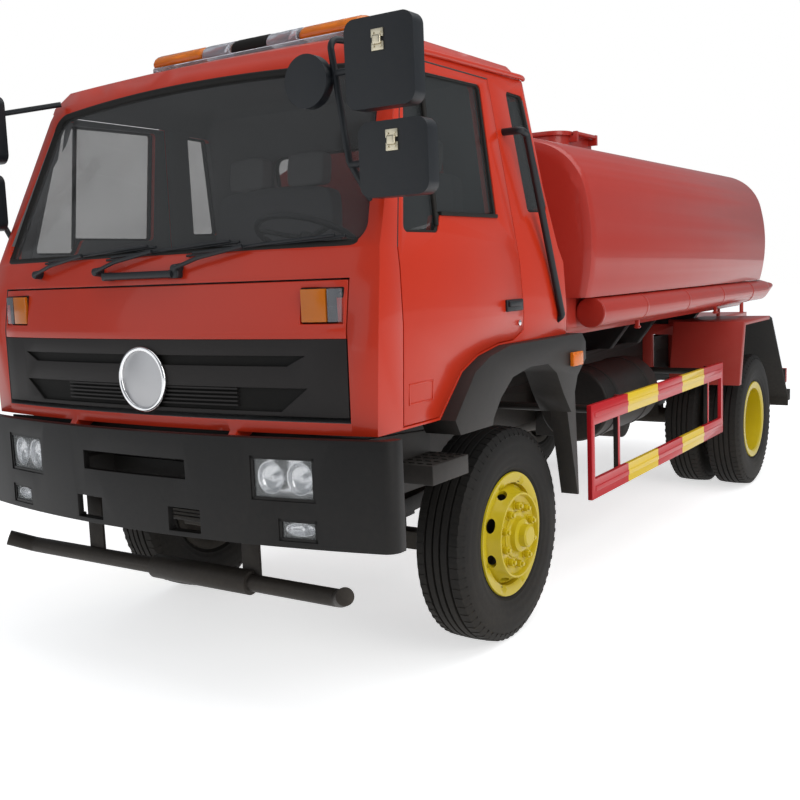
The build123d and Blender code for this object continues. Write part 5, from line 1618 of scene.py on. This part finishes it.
@dataclass
class FrontLidMaker:
    """Makes the front lid's panel, grille, blank badge and turn signals."""

    shop: Workshop
    badge_z: float = 1.364
    badge_radius: float = 0.140
    bands: Tuple[Tuple[str, float, float, float, float], ...] = (
        ("upper", 0.830, 1.468, 0.750, 1.428),
        ("lower", 0.835, 1.342, 0.715, 1.250),
    )
    louvre_half: float = 0.505
    louvre_z: float = 1.270
    louvre_pitch: float = 0.0165
    louvres: int = 5
    signal_z: float = 1.66
    signal_low: float = 1.596
    signal_high: float = 1.722

    def _recess(self, grille: Piece, name: str, outline: Sequence[Tuple[float, float]]) -> None:
        """Press a shallow band into the grille that follows its bow.

        Args:
            grille: The grille's piece.
            name: The band's name.
            outline: The band's corners as (x, z).
        """
        behind = copied(grille, name + "_behind", Matrix.Translation((0.0, 0.016, 0.0)))
        front, back = station(-1.300), station(-1.187)
        cutter = board(name, [(x, front, z) for x, z in outline], (0.0, back - front, 0.0))
        modified(cutter, "BOOLEAN", operation="DIFFERENCE", object=behind, solver="EXACT")
        modified(grille, "BOOLEAN", operation="DIFFERENCE", object=cutter, solver="EXACT")
        bpy.data.objects.remove(behind)
        bpy.data.objects.remove(cutter)

    def _bowed_bar(self, name: str, half: float, z: float, depth: float, high: float) -> Piece:
        """Make a thin bar across the grille that follows its bow."""
        x0, x1 = -half, half
        parts = []
        count = 8
        for index in range(count):
            a = x0 + (x1 - x0) * index / count
            b = x0 + (x1 - x0) * (index + 1) / count
            ya, yb = FORM.front(a, z) + depth, FORM.front(b, z) + depth
            ends = ((a, ya), (b, yb))
            parts.append(upright(f"{name}_{index}", ends, z - high / 2, 0.010, high))
        return joined(name, parts)

    def _grille(self) -> None:
        """Make the grille with its two pressed bands and the louvres."""
        grille = merged_copy(self.shop.node("grille"), "grille_skin")
        for word, wide, top, narrow, foot in self.bands:
            outline = ((-wide, top), (wide, top), (narrow, foot), (-narrow, foot))
            self._recess(grille, f"{word}_band", outline)
        eased(grille, 0.0025, 2, 40.0)
        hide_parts("grille")
        self.shop.dress(grille, "grille_grey", Body.FRONT_LID)
        grille.data.materials.append(self.shop.finishes["recess_black"])
        for face in grille.data.polygons:
            x, y, z = face.center
            deep = FORM.front(x, z) + 0.006 < y < FORM.front(x, z) + 0.03
            if deep and 1.245 < z < 1.472 and abs(x) < 0.84:
                face.material_index = 1
        bars = []
        for index in range(self.louvres):
            z = self.louvre_z + self.louvre_pitch * index
            bars.append(self._bowed_bar(f"louvre{index}", self.louvre_half, z, 0.003, 0.007))
        self.shop.dress(joined("grille_louvres", bars), "grille_grey", Body.FRONT_LID)

    def _badge(self) -> None:
        """Make the blank round badge: a satin disc in a chrome ring."""
        y = FORM.front(0.0, self.badge_z)
        clear_selection()
        bpy.ops.mesh.primitive_torus_add(
            major_radius=self.badge_radius - 0.011,
            minor_radius=0.011,
            major_segments=72,
            minor_segments=14,
            location=(0.0, y - 0.006, self.badge_z),
            rotation=(math.radians(90.0), 0.0, 0.0),
        )
        ring = smoothed(settle(named("badge_ring")), 60.0)
        self.shop.dress(ring, "chrome", Body.FRONT_LID)
        disc = rod(
            "badge_disc",
            (0.0, y + 0.012, self.badge_z),
            (0.0, y - 0.006, self.badge_z),
            self.badge_radius - 0.012,
            0.003,
            64,
        )
        self.shop.dress(disc, "satin_disc", Body.FRONT_LID)

    def _signals(self) -> None:
        """Make the turn signals: a black bezel, an amber lens and a clear corner lens."""
        for side in Side:
            low, high = self.signal_low, self.signal_high

            def ends(start: float, end: float, back: float) -> List[Tuple[float, float]]:
                """Return the front corners of a bar, set back from the panel's face."""
                z = self.signal_z
                return [(side.value * x, FORM.front(x, z) + back) for x in (start, end)]

            spans = ((0.822, 0.930, "amber_lens", "amber"), (0.936, 0.994, "smoke_lens", "clear"))
            for a, b, finish, word in spans:
                name = f"signal_{word}_{side.word}"
                lens = upright(name, ends(a, b, -0.010), low, 0.022, high - low, 0.004)
                self.shop.dress(lens, finish, Body.FRONT_LID)
            corners = ends(0.8155, 0.9995, 0.004)
            back = upright(f"signal_back_{side.word}", corners, 1.5905, 0.026, 0.136, 0.003)
            self.shop.dress(back, "recess_black", Body.FRONT_LID)
            if side is Side.LEFT:
                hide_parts("turn_signals")

    def build(self) -> None:
        """Make the lid."""
        self.shop.refine("front_panel", "cab_red", Body.FRONT_LID, 0.004)
        self._grille()
        self._badge()
        self._signals()


@dataclass
class LightBarMaker:
    """Makes the warning light bar: base, end domes and middle lenses."""

    shop: Workshop
    y: float = -0.330
    low: float = 2.800
    half: float = 0.640
    depth: float = 0.150
    flat: float = 0.74
    beacon: Tuple[Tuple[float, float], ...] = (
        (0.0, 0.0),
        (0.0, 0.02),
        (0.035, 0.045),
        (0.036, 0.043),
        (0.004, 0.018),
        (0.004, 0.0),
    )

    def _dome(self, name: str, x0: float, x1: float, finish: str, end: int) -> None:
        """Make one lens of the bar.

        Args:
            name: The lens's name.
            x0: Its inner end.
            x1: Its outer end.
            finish: Its finish.
            end: 1 or -1 where it closes the bar's end, else 0.
        """
        y = station(self.y)
        section = []
        for step in range(13):
            angle = math.pi * step / 12
            away = math.copysign(abs(math.cos(angle)) ** self.flat, math.cos(angle))
            rise = math.sin(angle) ** self.flat * 0.077
            section.append((y - away * (self.depth - 0.006), self.low + 0.030 + rise))
        lens = board(name, [(x0, a, b) for a, b in section], (x1 - x0, 0.0, 0.0))
        eased(lens, 0.012 if not end else 0.022, 4, 50.0)
        self.shop.dress(lens, finish, Body.CAB)

    def build(self) -> None:
        """Make the bar."""
        y = station(self.y)
        base = slab(
            "lightbar_base",
            (-self.half + 0.01, y - self.depth + 0.004, self.low),
            (self.half - 0.01, y + self.depth - 0.004, self.low + 0.034),
            0.010,
            3,
        )
        feet = []
        for sign in (1, -1):
            feet.append(
                slab(
                    f"lightbar_foot{sign}",
                    (sign * 0.445, y - 0.035, 2.7685),
                    (sign * 0.515, y + 0.035, self.low + 0.01),
                    0.006,
                )
            )
        self.shop.dress(base, "smoke_lens", Body.CAB)
        self.shop.dress(joined("lightbar_feet", feet), "recess_black", Body.CAB)
        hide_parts("light_bar")
        spans = (
            (-0.636, -0.300, "amber_lens", -1),
            (-0.296, -0.110, "smoke_lens", 0),
            (-0.106, 0.106, "recess_black", 0),
            (0.110, 0.296, "smoke_lens", 0),
            (0.300, 0.636, "amber_lens", 1),
        )
        for index, (x0, x1, finish, end) in enumerate(spans):
            self._dome(f"lightbar_lens{index}", x0, x1, finish, end)
        for index, x in enumerate((-0.47, 0.47)):
            cup = turned(
                f"beacon{index}",
                self.beacon,
                (x, y, self.low + 0.063),
                1.0,
                24,
            )
            self.shop.dress(cup, "reflector", Body.CAB)


@dataclass
class MirrorMaker:
    """Makes the mirrors' housings, glasses and bracket plates."""

    shop: Workshop
    y: float = -1.060
    heads: Tuple[Tuple[float, float, float, float], ...] = (
        (1.032, 1.330, 2.362, 2.680),
        (1.078, 1.375, 2.045, 2.314),
    )

    def build(self) -> None:
        """Make the mirrors."""
        self.shop.refine("mirrors", "mirror_black", Body.CAB, 0.010, 4)
        back = station(self.y)
        front = station(self.y - 0.070)
        for side in Side:
            sign = side.value
            for index, (inner, outer, low, high) in enumerate(self.heads):
                middle, height = (inner + outer) / 2, (low + high) / 2
                glass = slab(
                    f"mirror_glass_{side.word}{index}",
                    (sign * (inner + 0.016), back - 0.001, low + 0.016),
                    (sign * (outer - 0.016), back + 0.003, high - 0.016),
                    0.002,
                )
                self.shop.dress(glass, "chrome", Body.CAB)
                lift = (high - low) * 0.22
                plates = []
                for drop in (0.012, -0.034):
                    plates.append(
                        slab(
                            f"mirror_plate_{side.word}{index}",
                            (sign * (middle - 0.026), front - 0.006, height + lift + drop),
                            (sign * (middle + 0.026), front + 0.001, height + lift + drop + 0.030),
                            0.002,
                        )
                    )
                for dx in (-0.015, 0.015):
                    for drop in (0.027, -0.020):
                        x, z = sign * (middle + dx), height + lift + drop
                        start, end = (x, front - 0.002, z), (x, front - 0.010, z)
                        bolt = rod(f"mirror_bolt_{side.word}{index}", start, end, 0.0045, 0.0, 6)
                        plates.append(bolt)
                plates.append(
                    slab(
                        f"mirror_clip_{side.word}{index}",
                        (sign * (middle - 0.018), front - 0.016, height + lift - 0.014),
                        (sign * (middle + 0.018), front + 0.001, height + lift + 0.020),
                        0.006,
                        3,
                    )
                )
                bracket = joined(f"mirror_bracket_{side.word}{index}", plates)
                self.shop.dress(bracket, "zinc_plate", Body.CAB)


@dataclass
class InteriorMaker:
    """Makes the dashboard, steering wheel and seats."""

    shop: Workshop
    seats: Tuple[Tuple[float, float, Tuple[float, ...]], ...] = (
        (0.48, 0.25, (0.0,)),
        (-0.43, 0.42, (-0.21, 0.21)),
    )
    cushion_low: float = 1.745

    def _cushion(
        self,
        name: str,
        low: Point,
        high: Point,
        lean: float,
        finish: str,
        lift: float,
    ) -> None:
        """Make one padded block with a crowned form.

        Args:
            name: The cushion's name.
            low: Its lowest corner.
            high: Its highest corner.
            lean: How far its top leans back.
            finish: Its finish.
            lift: Height of the crown.
        """
        piece = slab(name, low, high)
        bpy.ops.object.mode_set(mode="EDIT")
        bpy.ops.mesh.select_all(action="SELECT")
        bpy.ops.mesh.subdivide(number_cuts=5)
        bpy.ops.object.mode_set(mode="OBJECT")
        middle = [(a + b) / 2 for a, b in zip(low, high)]
        half = [abs(b - a) / 2 for a, b in zip(low, high)]
        for vertex in piece.data.vertices:
            offset = [(vertex.co[i] - middle[i]) / half[i] for i in range(3)]
            fat = (1 - offset[0] ** 2) * (1 - abs(offset[2]) ** 2)
            vertex.co[1] -= lift * fat if offset[1] < 0 else -lift * 0.3 * fat
            crown = 0.6 if offset[2] > 0 else 0.0
            vertex.co[2] += lift * (1 - offset[0] ** 2) * (1 - offset[1] ** 2) * crown
            for axis in (0, 2):
                other = 2 - axis
                vertex.co[axis] -= offset[axis] ** 3 * offset[other] ** 2 * half[axis] * 0.07
            vertex.co[1] += lean * (vertex.co[2] - low[2]) / (high[2] - low[2])
        modified(piece, "SUBSURF", levels=2, render_levels=2)
        smoothed(piece, 60.0)
        self.shop.dress(piece, finish, Body.CAB)

    def build(self) -> None:
        """Make the cab's inside."""
        self.shop.refine("dashboard", "cab_plastic", Body.CAB, 0.018, 4)
        self.shop.refine("steering_wheel", "mirror_black", Body.CAB, 0.002)
        bases = []
        for index, (x, half, heads) in enumerate(self.seats):
            low = (x - half + 0.02, station(-0.40), 1.4875)
            high = (x + half - 0.02, station(0.09), self.cushion_low)
            bases.append(slab(f"seat_base{index}", low, high, 0.02, 3))
            low = (x - half, station(-0.42), self.cushion_low)
            high = (x + half, station(0.09), 1.870)
            self._cushion(f"seat_cushion{index}", low, high, 0.0, "seat_cloth", 0.020)
            low, high = (x - half, station(0.095), 1.760), (x + half, station(0.205), 2.250)
            self._cushion(f"seat_back{index}", low, high, 0.075, "seat_cloth", 0.028)
            for number, shift in enumerate(heads):
                low = (x + shift - 0.125, station(0.185), 2.255)
                high = (x + shift + 0.125, station(0.270), 2.430)
                self._cushion(f"seat_head{index}{number}", low, high, 0.02, "seat_cover", 0.020)
        base = joined("seat_bases", bases)
        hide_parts("seats")
        self.shop.dress(base, "cab_plastic", Body.CAB)


# Chassis.


@dataclass
class BumperMaker:
    """Makes the bumper with its lamps and the front spray bar."""

    shop: Workshop
    bow: float = 0.150
    half: float = 1.221
    lamp_rim: float = 0.012
    flutes: int = 12

    def face(self, x: float) -> float:
        """Return the Y of the bumper's face at a place across the truck."""
        return station(-1.355 + self.bow * (x / self.half) ** 2)

    def _lamp(
        self,
        name: str,
        sign: int,
        inner: float,
        outer: float,
        low: float,
        high: float,
        cups: int,
    ) -> Piece:
        """Make one lamp: bezel, lens and reflector cups.

        Args:
            name: The lamp's name.
            sign: The side's sign.
            inner: Its inner edge.
            outer: Its outer edge.
            low: Its lower edge.
            high: Its upper edge.
            cups: How many reflector cups it has.

        Returns:
            The lamp's bezel.
        """
        ya, yb = self.face(inner), self.face(outer)
        gap = 0.0006

        def edge(share: float, back: float) -> Tuple[float, float]:
            """Return the (x, y) of a point across the lamp, set back from the face."""
            x = inner + gap + (outer - inner - 2 * gap) * share
            return sign * x, ya + (yb - ya) * share + back

        def bar(
            word: str,
            span: Tuple[float, float],
            back: float,
            base: float,
            depth: float,
            rise: float,
        ) -> Piece:
            """Make one upright bar of the lamp between two shares of its width."""
            ends = (edge(span[0], back), edge(span[1], back))
            return upright(f"{name}_{word}", ends, base, depth, rise)

        rim = self.lamp_rim
        wall = rim / (outer - inner)
        floor, tall = low + gap, high - low - 2 * gap
        bars = []
        for span in ((0.0, wall), (1.0 - wall, 1.0)):
            bars.append(bar("side", span, 0.004, floor, 0.06, tall))
        for base in (floor, high - gap - rim):
            bars.append(bar("rail", (0.0, 1.0), 0.004, base, 0.06, rim))
        bezel = joined(f"{name}_bezel", bars)
        self.shop.dress(bezel, "bumper_black", Body.CHASSIS)
        back = bar("back", (0.0, 1.0), 0.058, floor, 0.045, tall)
        self.shop.dress(back, "reflector", Body.CHASSIS)
        middle_z = (low + high) / 2
        bowls = []
        for index in range(cups):
            start = wall + (1 - 2 * wall) * index / cups + 0.01
            end = wall + (1 - 2 * wall) * (index + 1) / cups - 0.01
            (xa, y_a), (xb, y_b) = edge(start, 0.018), edge(end, 0.018)
            bottom, top = low + 0.016, high - 0.016
            corners = ((xa, y_a, bottom), (xb, y_b, bottom), (xb, y_b, top), (xa, y_a, top))
            bowl = traced(f"{name}_bowl{index}", corners)
            bpy.ops.mesh.edge_face_add()
            bpy.ops.mesh.inset(thickness=0.0035)
            middle = ((xa + xb) / 2, (y_a + y_b) / 2 + 0.038, middle_z)
            for push, shrink in ((0.016, 0.93), (0.014, 0.80), (0.008, 0.62)):
                step = {"value": (0.0, push, 0.0)}
                bpy.ops.mesh.extrude_region_move(TRANSFORM_OT_translate=step)
                bpy.ops.transform.resize(value=(shrink, 1.0, shrink), center_override=middle)
            bpy.ops.mesh.select_all(action="SELECT")
            bpy.ops.mesh.normals_make_consistent(inside=False)
            bpy.ops.object.mode_set(mode="OBJECT")
            modified(bowl, "SUBSURF", levels=2, render_levels=2)
            modified(bowl, "SOLIDIFY", thickness=0.0015, offset=0.0)
            bowls.append(smoothed(bowl, 60.0))
            foot = (middle[0], middle[1] + 0.004, middle_z)
            tip = (middle[0], middle[1] - 0.026, middle_z)
            bowls.append(rod(f"{name}_bulb{index}", foot, tip, 0.011, 0.003, 20))
        self.shop.dress(joined(f"{name}_cups", bowls), "reflector", Body.CHASSIS)
        flutes = []
        z0 = low + 0.0125
        for index in range(self.flutes):
            start = wall + (1 - 2 * wall) * index / self.flutes
            end = wall + (1 - 2 * wall) * (index + 1) / self.flutes
            (xa, y_a), (xb, y_b) = edge(start, 0.010), edge(end, 0.010)
            ridge = (*edge((start + end) / 2, 0.0075), z0)
            behind = ((xb, y_b + 0.003, z0), (xa, y_a + 0.003, z0))
            outline = ((xa, y_a, z0), ridge, (xb, y_b, z0), *behind)
            flutes.append(board(f"{name}_flute", outline, (0.0, 0.0, high - low - 0.025)))
        lens = joined(f"{name}_lens", flutes)
        activate(lens)
        bpy.ops.object.mode_set(mode="EDIT")
        bpy.ops.mesh.select_all(action="SELECT")
        bpy.ops.mesh.remove_doubles(threshold=0.0001)
        bpy.ops.object.mode_set(mode="OBJECT")
        self.shop.dress(lens, "lamp_glass", Body.CHASSIS)
        return bezel

    def build(self) -> None:
        """Make the front end."""
        self.shop.refine("front_bumper", "bumper_black", Body.CHASSIS, 0.012, 4)
        first: Optional[Piece] = None
        for side in Side:
            head = self._lamp(f"headlamp_{side.word}", side.value, 0.629, 0.911, 0.916, 1.090, 2)
            self._lamp(f"foglamp_{side.word}", side.value, 0.745, 0.913, 0.760, 0.848, 1)
            first = first or head
        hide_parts("headlamps")
        self.shop.refine("spray_bar", "pipe_iron", Body.CHASSIS, 0.003)


@dataclass
class ChassisMaker:
    """Dresses the frame, the running gear, the guards and the rear end."""

    shop: Workshop
    fins: int = 26
    fin_low: float = 0.715
    fin_pitch: float = 0.0162

    def _guards(self) -> None:
        """Show the side guards with painted blocks, a pressed rib and black stays."""
        guards = self.shop.refine("side_guards", "guard_red", Body.CHASSIS, 0.004, 3)
        guards.data.materials.clear()
        guards.data.materials.append(self.shop.finishes["guard_stripes"])
        guards.data.materials.append(self.shop.finishes["frame_black"])
        for face in guards.data.polygons:
            if abs(face.center.x) < 1.165:
                face.material_index = 1
        for side in Side:
            x = side.value * 1.197
            for low in (0.537, 0.935):
                rib = slab(
                    f"guard_rib_{side.word}_{int(low * 1000)}",
                    (x - side.value * 0.006, station(0.752), low + 0.040),
                    (x + side.value * 0.004, station(3.073), low + 0.068),
                    0.0035,
                    3,
                )
                self.shop.dress(rib, "guard_stripes", Body.CHASSIS)

    def _radiator(self) -> None:
        """Put the radiator core with its fins behind the bumper, and in front of it a black plate
        on two stays as painted shade: a dark sheet where only shadow lies behind the bumper.
        """
        parts = [
            slab(
                "radiator_core",
                (-0.34, station(-1.04), 0.70),
                (0.34, station(-0.97), 1.135),
                0.006,
            ),
            # Painted shade: this black plate and its stays stand for the shadow in the gap behind
            # the bumper.
            slab(
                "closing_plate",
                (-1.06, station(-1.14), 1.00),
                (1.06, station(-1.132), 1.152),
                0.003,
            ),
        ]
        for sign in (1, -1):
            parts.append(
                slab(
                    f"closing_stay{sign}",
                    (sign * 0.40, station(-1.135), 1.00),
                    (sign * 0.425, station(-1.02), 1.045),
                    0.003,
                )
            )
        self.shop.dress(joined("radiator", parts), "frame_black", Body.CHASSIS)
        fins = []
        for index in range(self.fins):
            z = self.fin_low + self.fin_pitch * index
            low, high = (-0.325, station(-1.046), z), (0.325, station(-1.039), z + 0.007)
            fins.append(slab(f"fin{index}", low, high))
        self.shop.dress(joined("radiator_fins", fins), "cast_grey", Body.CHASSIS)

    def _step_treads(self) -> None:
        """Lay the raised grips on the cab steps."""
        for side in Side:
            sign = side.value
            parts = []
            for row in range(5):
                for column in range(4):
                    x = sign * (1.04 + 0.042 * column)
                    y = station(-0.855 + 0.058 * row)
                    low, high = (x - 0.014, y - 0.004, 1.0095), (x + 0.014, y + 0.004, 1.015)
                    parts.append(slab(f"grip{row}{column}", low, high, 0.002))
            self.shop.dress(joined(f"step_grips_{side.word}", parts), "flare_black", Body.CHASSIS)

    def build(self) -> None:
        """Dress the chassis."""
        plain: Tuple[Tuple[str, str, Body, float], ...] = (
            ("chassis_frame", "frame_black", Body.CHASSIS, 0.003),
            ("tank_cradle", "frame_black", Body.CHASSIS, 0.003),
            ("driveline", "cast_grey", Body.CHASSIS, 0.012),
            ("front_axle", "cast_grey", Body.CHASSIS, 0.006),
            ("rear_axle", "cast_grey", Body.CHASSIS, 0.008),
            ("leaf_springs", "frame_black", Body.CHASSIS, 0.002),
            ("fuel_tank", "frame_black", Body.CHASSIS, 0.004),
            ("air_reservoirs", "frame_black", Body.CHASSIS, 0.020),
            ("cab_steps", "flare_black", Body.CHASSIS, 0.008),
            ("rear_fenders", "fender_red", Body.CHASSIS, 0.004),
            ("rear_flaps", "flap_rubber", Body.CHASSIS, 0.003),
            ("rear_platform", "tank_red", Body.CHASSIS, 0.003),
            ("water_pump", "cast_grey", Body.CHASSIS, 0.006),
            ("rear_bar", "frame_black", Body.CHASSIS, 0.005),
            ("tail_lamps", "red_lens", Body.CHASSIS, 0.006),
            ("knuckle_left", "cast_grey", Body.KNUCKLE_LEFT, 0.004),
            ("knuckle_right", "cast_grey", Body.KNUCKLE_RIGHT, 0.004),
            ("track_rod", "cast_grey", Body.TRACK_ROD, 0.002),
        )
        for node, finish, body, ease in plain:
            self.shop.refine(node, finish, body, ease)
        self._guards()
        self._step_treads()
        self._radiator()


@dataclass
class TankMaker:
    """Dresses the water tank, its manhole and the hose tubes."""

    shop: Workshop
    tube_x: float = 1.094
    tube_z: float = 1.515
    cap: float = 0.962
    bands: Tuple[float, ...] = (1.63, 2.43, 3.23, 4.03)
    latches: Tuple[float, ...] = (1.645, 3.245)

    def _tube_bands(self) -> None:
        """Put clamp bands and caps on the hose tubes."""
        for side in Side:
            sign = side.value
            parts = []
            for index, y in enumerate((self.cap, *self.bands)):
                wide = 0.030 if index else 0.014
                start = (sign * self.tube_x, station(y), self.tube_z)
                end = (sign * self.tube_x, station(y + wide), self.tube_z)
                parts.append(rod(f"tube_band{index}", start, end, 0.0830, 0.0012, 48))
            self.shop.dress(joined(f"tube_bands_{side.word}", parts), "tank_red", Body.CHASSIS)
            latches = []
            for index, y in enumerate(self.latches):
                x = sign * 1.105
                low = (x - 0.012, station(y - 0.012), 1.385)
                high = (x + 0.012, station(y + 0.012), 1.437)
                latches.append(slab(f"latch{index}", low, high, 0.003))
                start, end = (x - 0.02, station(y), 1.395), (x + 0.02, station(y), 1.395)
                latches.append(rod(f"latch_pin{index}", start, end, 0.007, 0.001, 12))
            self.shop.dress(joined(f"tube_latches_{side.word}", latches), "tank_red", Body.CHASSIS)

    def build(self) -> None:
        """Dress the tank."""
        self.shop.refine("tank", "tank_red", Body.CHASSIS, 0.006, 3, 40.0)
        self.shop.refine("manhole_lid", "tank_red", Body.MANHOLE, 0.006, 3)
        self.shop.refine("hose_tubes", "tank_red", Body.CHASSIS, 0.004, 3)
        self._tube_bands()


# Studio.


@dataclass
class Studio:
    """Sets the camera, the lamps, the floor and the white background."""

    camera_place: Point = (3.27767, -6.29093, 1.77473)
    lens: float = 45.949
    right: Point = (0.8361697, 0.5471773, -0.0376466)
    down: Point = (0.0370443, -0.1248250, -0.9914870)
    forward: Point = (-0.5472184, 0.8276568, -0.1246447)

    def camera(self) -> None:
        """Place the camera where the photograph was taken."""
        data = bpy.data.cameras.new("photo_camera")
        data.lens = self.lens
        data.sensor_width = 36.0
        data.clip_end = 200.0
        camera = bpy.data.objects.new("photo_camera", data)
        bpy.context.collection.objects.link(camera)
        columns = [Vector(self.right), -Vector(self.down), -Vector(self.forward)]
        turn = Matrix(columns).transposed().to_4x4()
        camera.matrix_world = Matrix.Translation(self.camera_place) @ turn
        bpy.context.scene.camera = camera

    @staticmethod
    def _lamp(
        name: str,
        place: Point,
        target: Point,
        size: float,
        power: float,
        tint: Colour,
    ) -> None:
        """Hang one soft lamp that faces a point.

        Args:
            name: The lamp's name.
            place: Where it hangs.
            target: What it faces.
            size: Its side length.
            power: Its power in watts.
            tint: Its colour.
        """
        data = bpy.data.lights.new(name, "AREA")
        data.shape = "SQUARE"
        data.size = size
        data.energy = power
        data.color = tint
        lamp = bpy.data.objects.new(name, data)
        lamp.location = place
        lamp.rotation_euler = (Vector(target) - Vector(place)).to_track_quat("-Z", "Y").to_euler()
        bpy.context.collection.objects.link(lamp)

    def lamps(self) -> None:
        """Hang the lamps: a broad sky lamp, a front fill and a side fill."""
        middle = (0.0, 0.0, 1.3)
        self._lamp("sky_lamp", (2.5, -0.5, 9.0), middle, 9.0, 430.0, (1.0, 1.0, 1.0))
        self._lamp("side_lamp", (9.0, -4.0, 4.5), middle, 6.0, 330.0, (1.0, 0.98, 0.96))
        self._lamp("front_lamp", (-4.0, -9.5, 4.0), middle, 6.0, 95.0, (0.97, 0.98, 1.0))
        self._lamp("rear_lamp", (-6.0, 8.0, 5.0), middle, 6.0, 150.0, (1.0, 1.0, 1.0))

    def world(self) -> None:
        """Light from all round, and show white behind the truck."""
        world = bpy.data.worlds.new("studio_world")
        bpy.context.scene.world = world
        world.use_nodes = True
        tree = world.node_tree
        tree.nodes.clear()
        paths = tree.nodes.new("ShaderNodeLightPath")
        seen = NodeGroups._maths(
            tree, "MAXIMUM", paths.outputs["Is Camera Ray"], paths.outputs["Is Transmission Ray"]
        )
        soft = tree.nodes.new("ShaderNodeBackground")
        soft.inputs["Color"].default_value = (0.90, 0.95, 1.0, 1.0)
        soft.inputs["Strength"].default_value = 0.34
        white = tree.nodes.new("ShaderNodeBackground")
        white.inputs["Strength"].default_value = 1.0
        white.inputs["Color"].default_value = (1.0, 1.0, 1.0, 1.0)
        mix = tree.nodes.new("ShaderNodeMixShader")
        output = tree.nodes.new("ShaderNodeOutputWorld")
        tree.links.new(seen, mix.inputs[0])
        tree.links.new(soft.outputs[0], mix.inputs[1])
        tree.links.new(white.outputs[0], mix.inputs[2])
        tree.links.new(mix.outputs[0], output.inputs["Surface"])

    def floor(self) -> None:
        """Lay the pale floor that takes the truck's shadow."""
        clear_selection()
        place = (0.0, 0.0, -0.0005)
        bpy.ops.mesh.primitive_grid_add(
            x_subdivisions=8, y_subdivisions=8, size=120.0, location=place
        )
        floor = settle(named("studio_floor"))
        material = bpy.data.materials.new("floor_white")
        material.use_nodes = True
        tree = material.node_tree
        shader = tree.nodes["Principled BSDF"]
        shader.inputs["Base Color"].default_value = (0.86, 0.86, 0.86, 1.0)
        shader.inputs["Roughness"].default_value = 0.9
        shader.inputs["Specular IOR Level"].default_value = 0.1
        paths = tree.nodes.new("ShaderNodeLightPath")
        seen = NodeGroups._maths(
            tree, "MAXIMUM", paths.outputs["Is Camera Ray"], paths.outputs["Is Glossy Ray"]
        )
        coords = tree.nodes.new("ShaderNodeTexCoord")
        away = tree.nodes.new("ShaderNodeVectorMath")
        away.operation = "LENGTH"
        tree.links.new(coords.outputs["Object"], away.inputs[0])
        pale = tree.nodes.new("ShaderNodeMapRange")
        pale.inputs["From Min"].default_value = 5.0
        pale.inputs["From Max"].default_value = 16.0
        pale.inputs["To Min"].default_value = 0.62
        pale.inputs["To Max"].default_value = 0.76
        tree.links.new(away.outputs["Value"], pale.inputs["Value"])
        glow = NodeGroups._maths(tree, "MULTIPLY", seen, pale.outputs[0])
        shader.inputs["Emission Color"].default_value = (1.0, 1.0, 1.0, 1.0)
        tree.links.new(glow, shader.inputs["Emission Strength"])
        floor.data.materials.append(material)

    def build(self) -> None:
        """Set the studio."""
        self.camera()
        self.lamps()
        self.world()
        self.floor()
        bpy.context.scene.view_settings.view_transform = "Standard"


def main(frame: Dict[str, object]) -> None:
    """Build every sub-assembly in order.
    """
    logging.basicConfig(level=logging.INFO, format="%(message)s")
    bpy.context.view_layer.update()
    Studio().build()
    shop = Workshop(frame, Finishes(NodeGroups()))
    makers: Tuple[Callable[[], None], ...] = (
        ChassisMaker(shop).build,
        TankMaker(shop).build,
        BumperMaker(shop).build,
        CabMaker(shop).build,
        FrontLidMaker(shop).build,
        LightBarMaker(shop).build,
        MirrorMaker(shop).build,
        InteriorMaker(shop).build,
        WheelMaker(shop).build,
    )
    for maker in makers:
        maker()
    clear_selection()
    LOG.info("%d pieces dressed", shop.count)


if __name__ == "__main__":
    main(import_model())
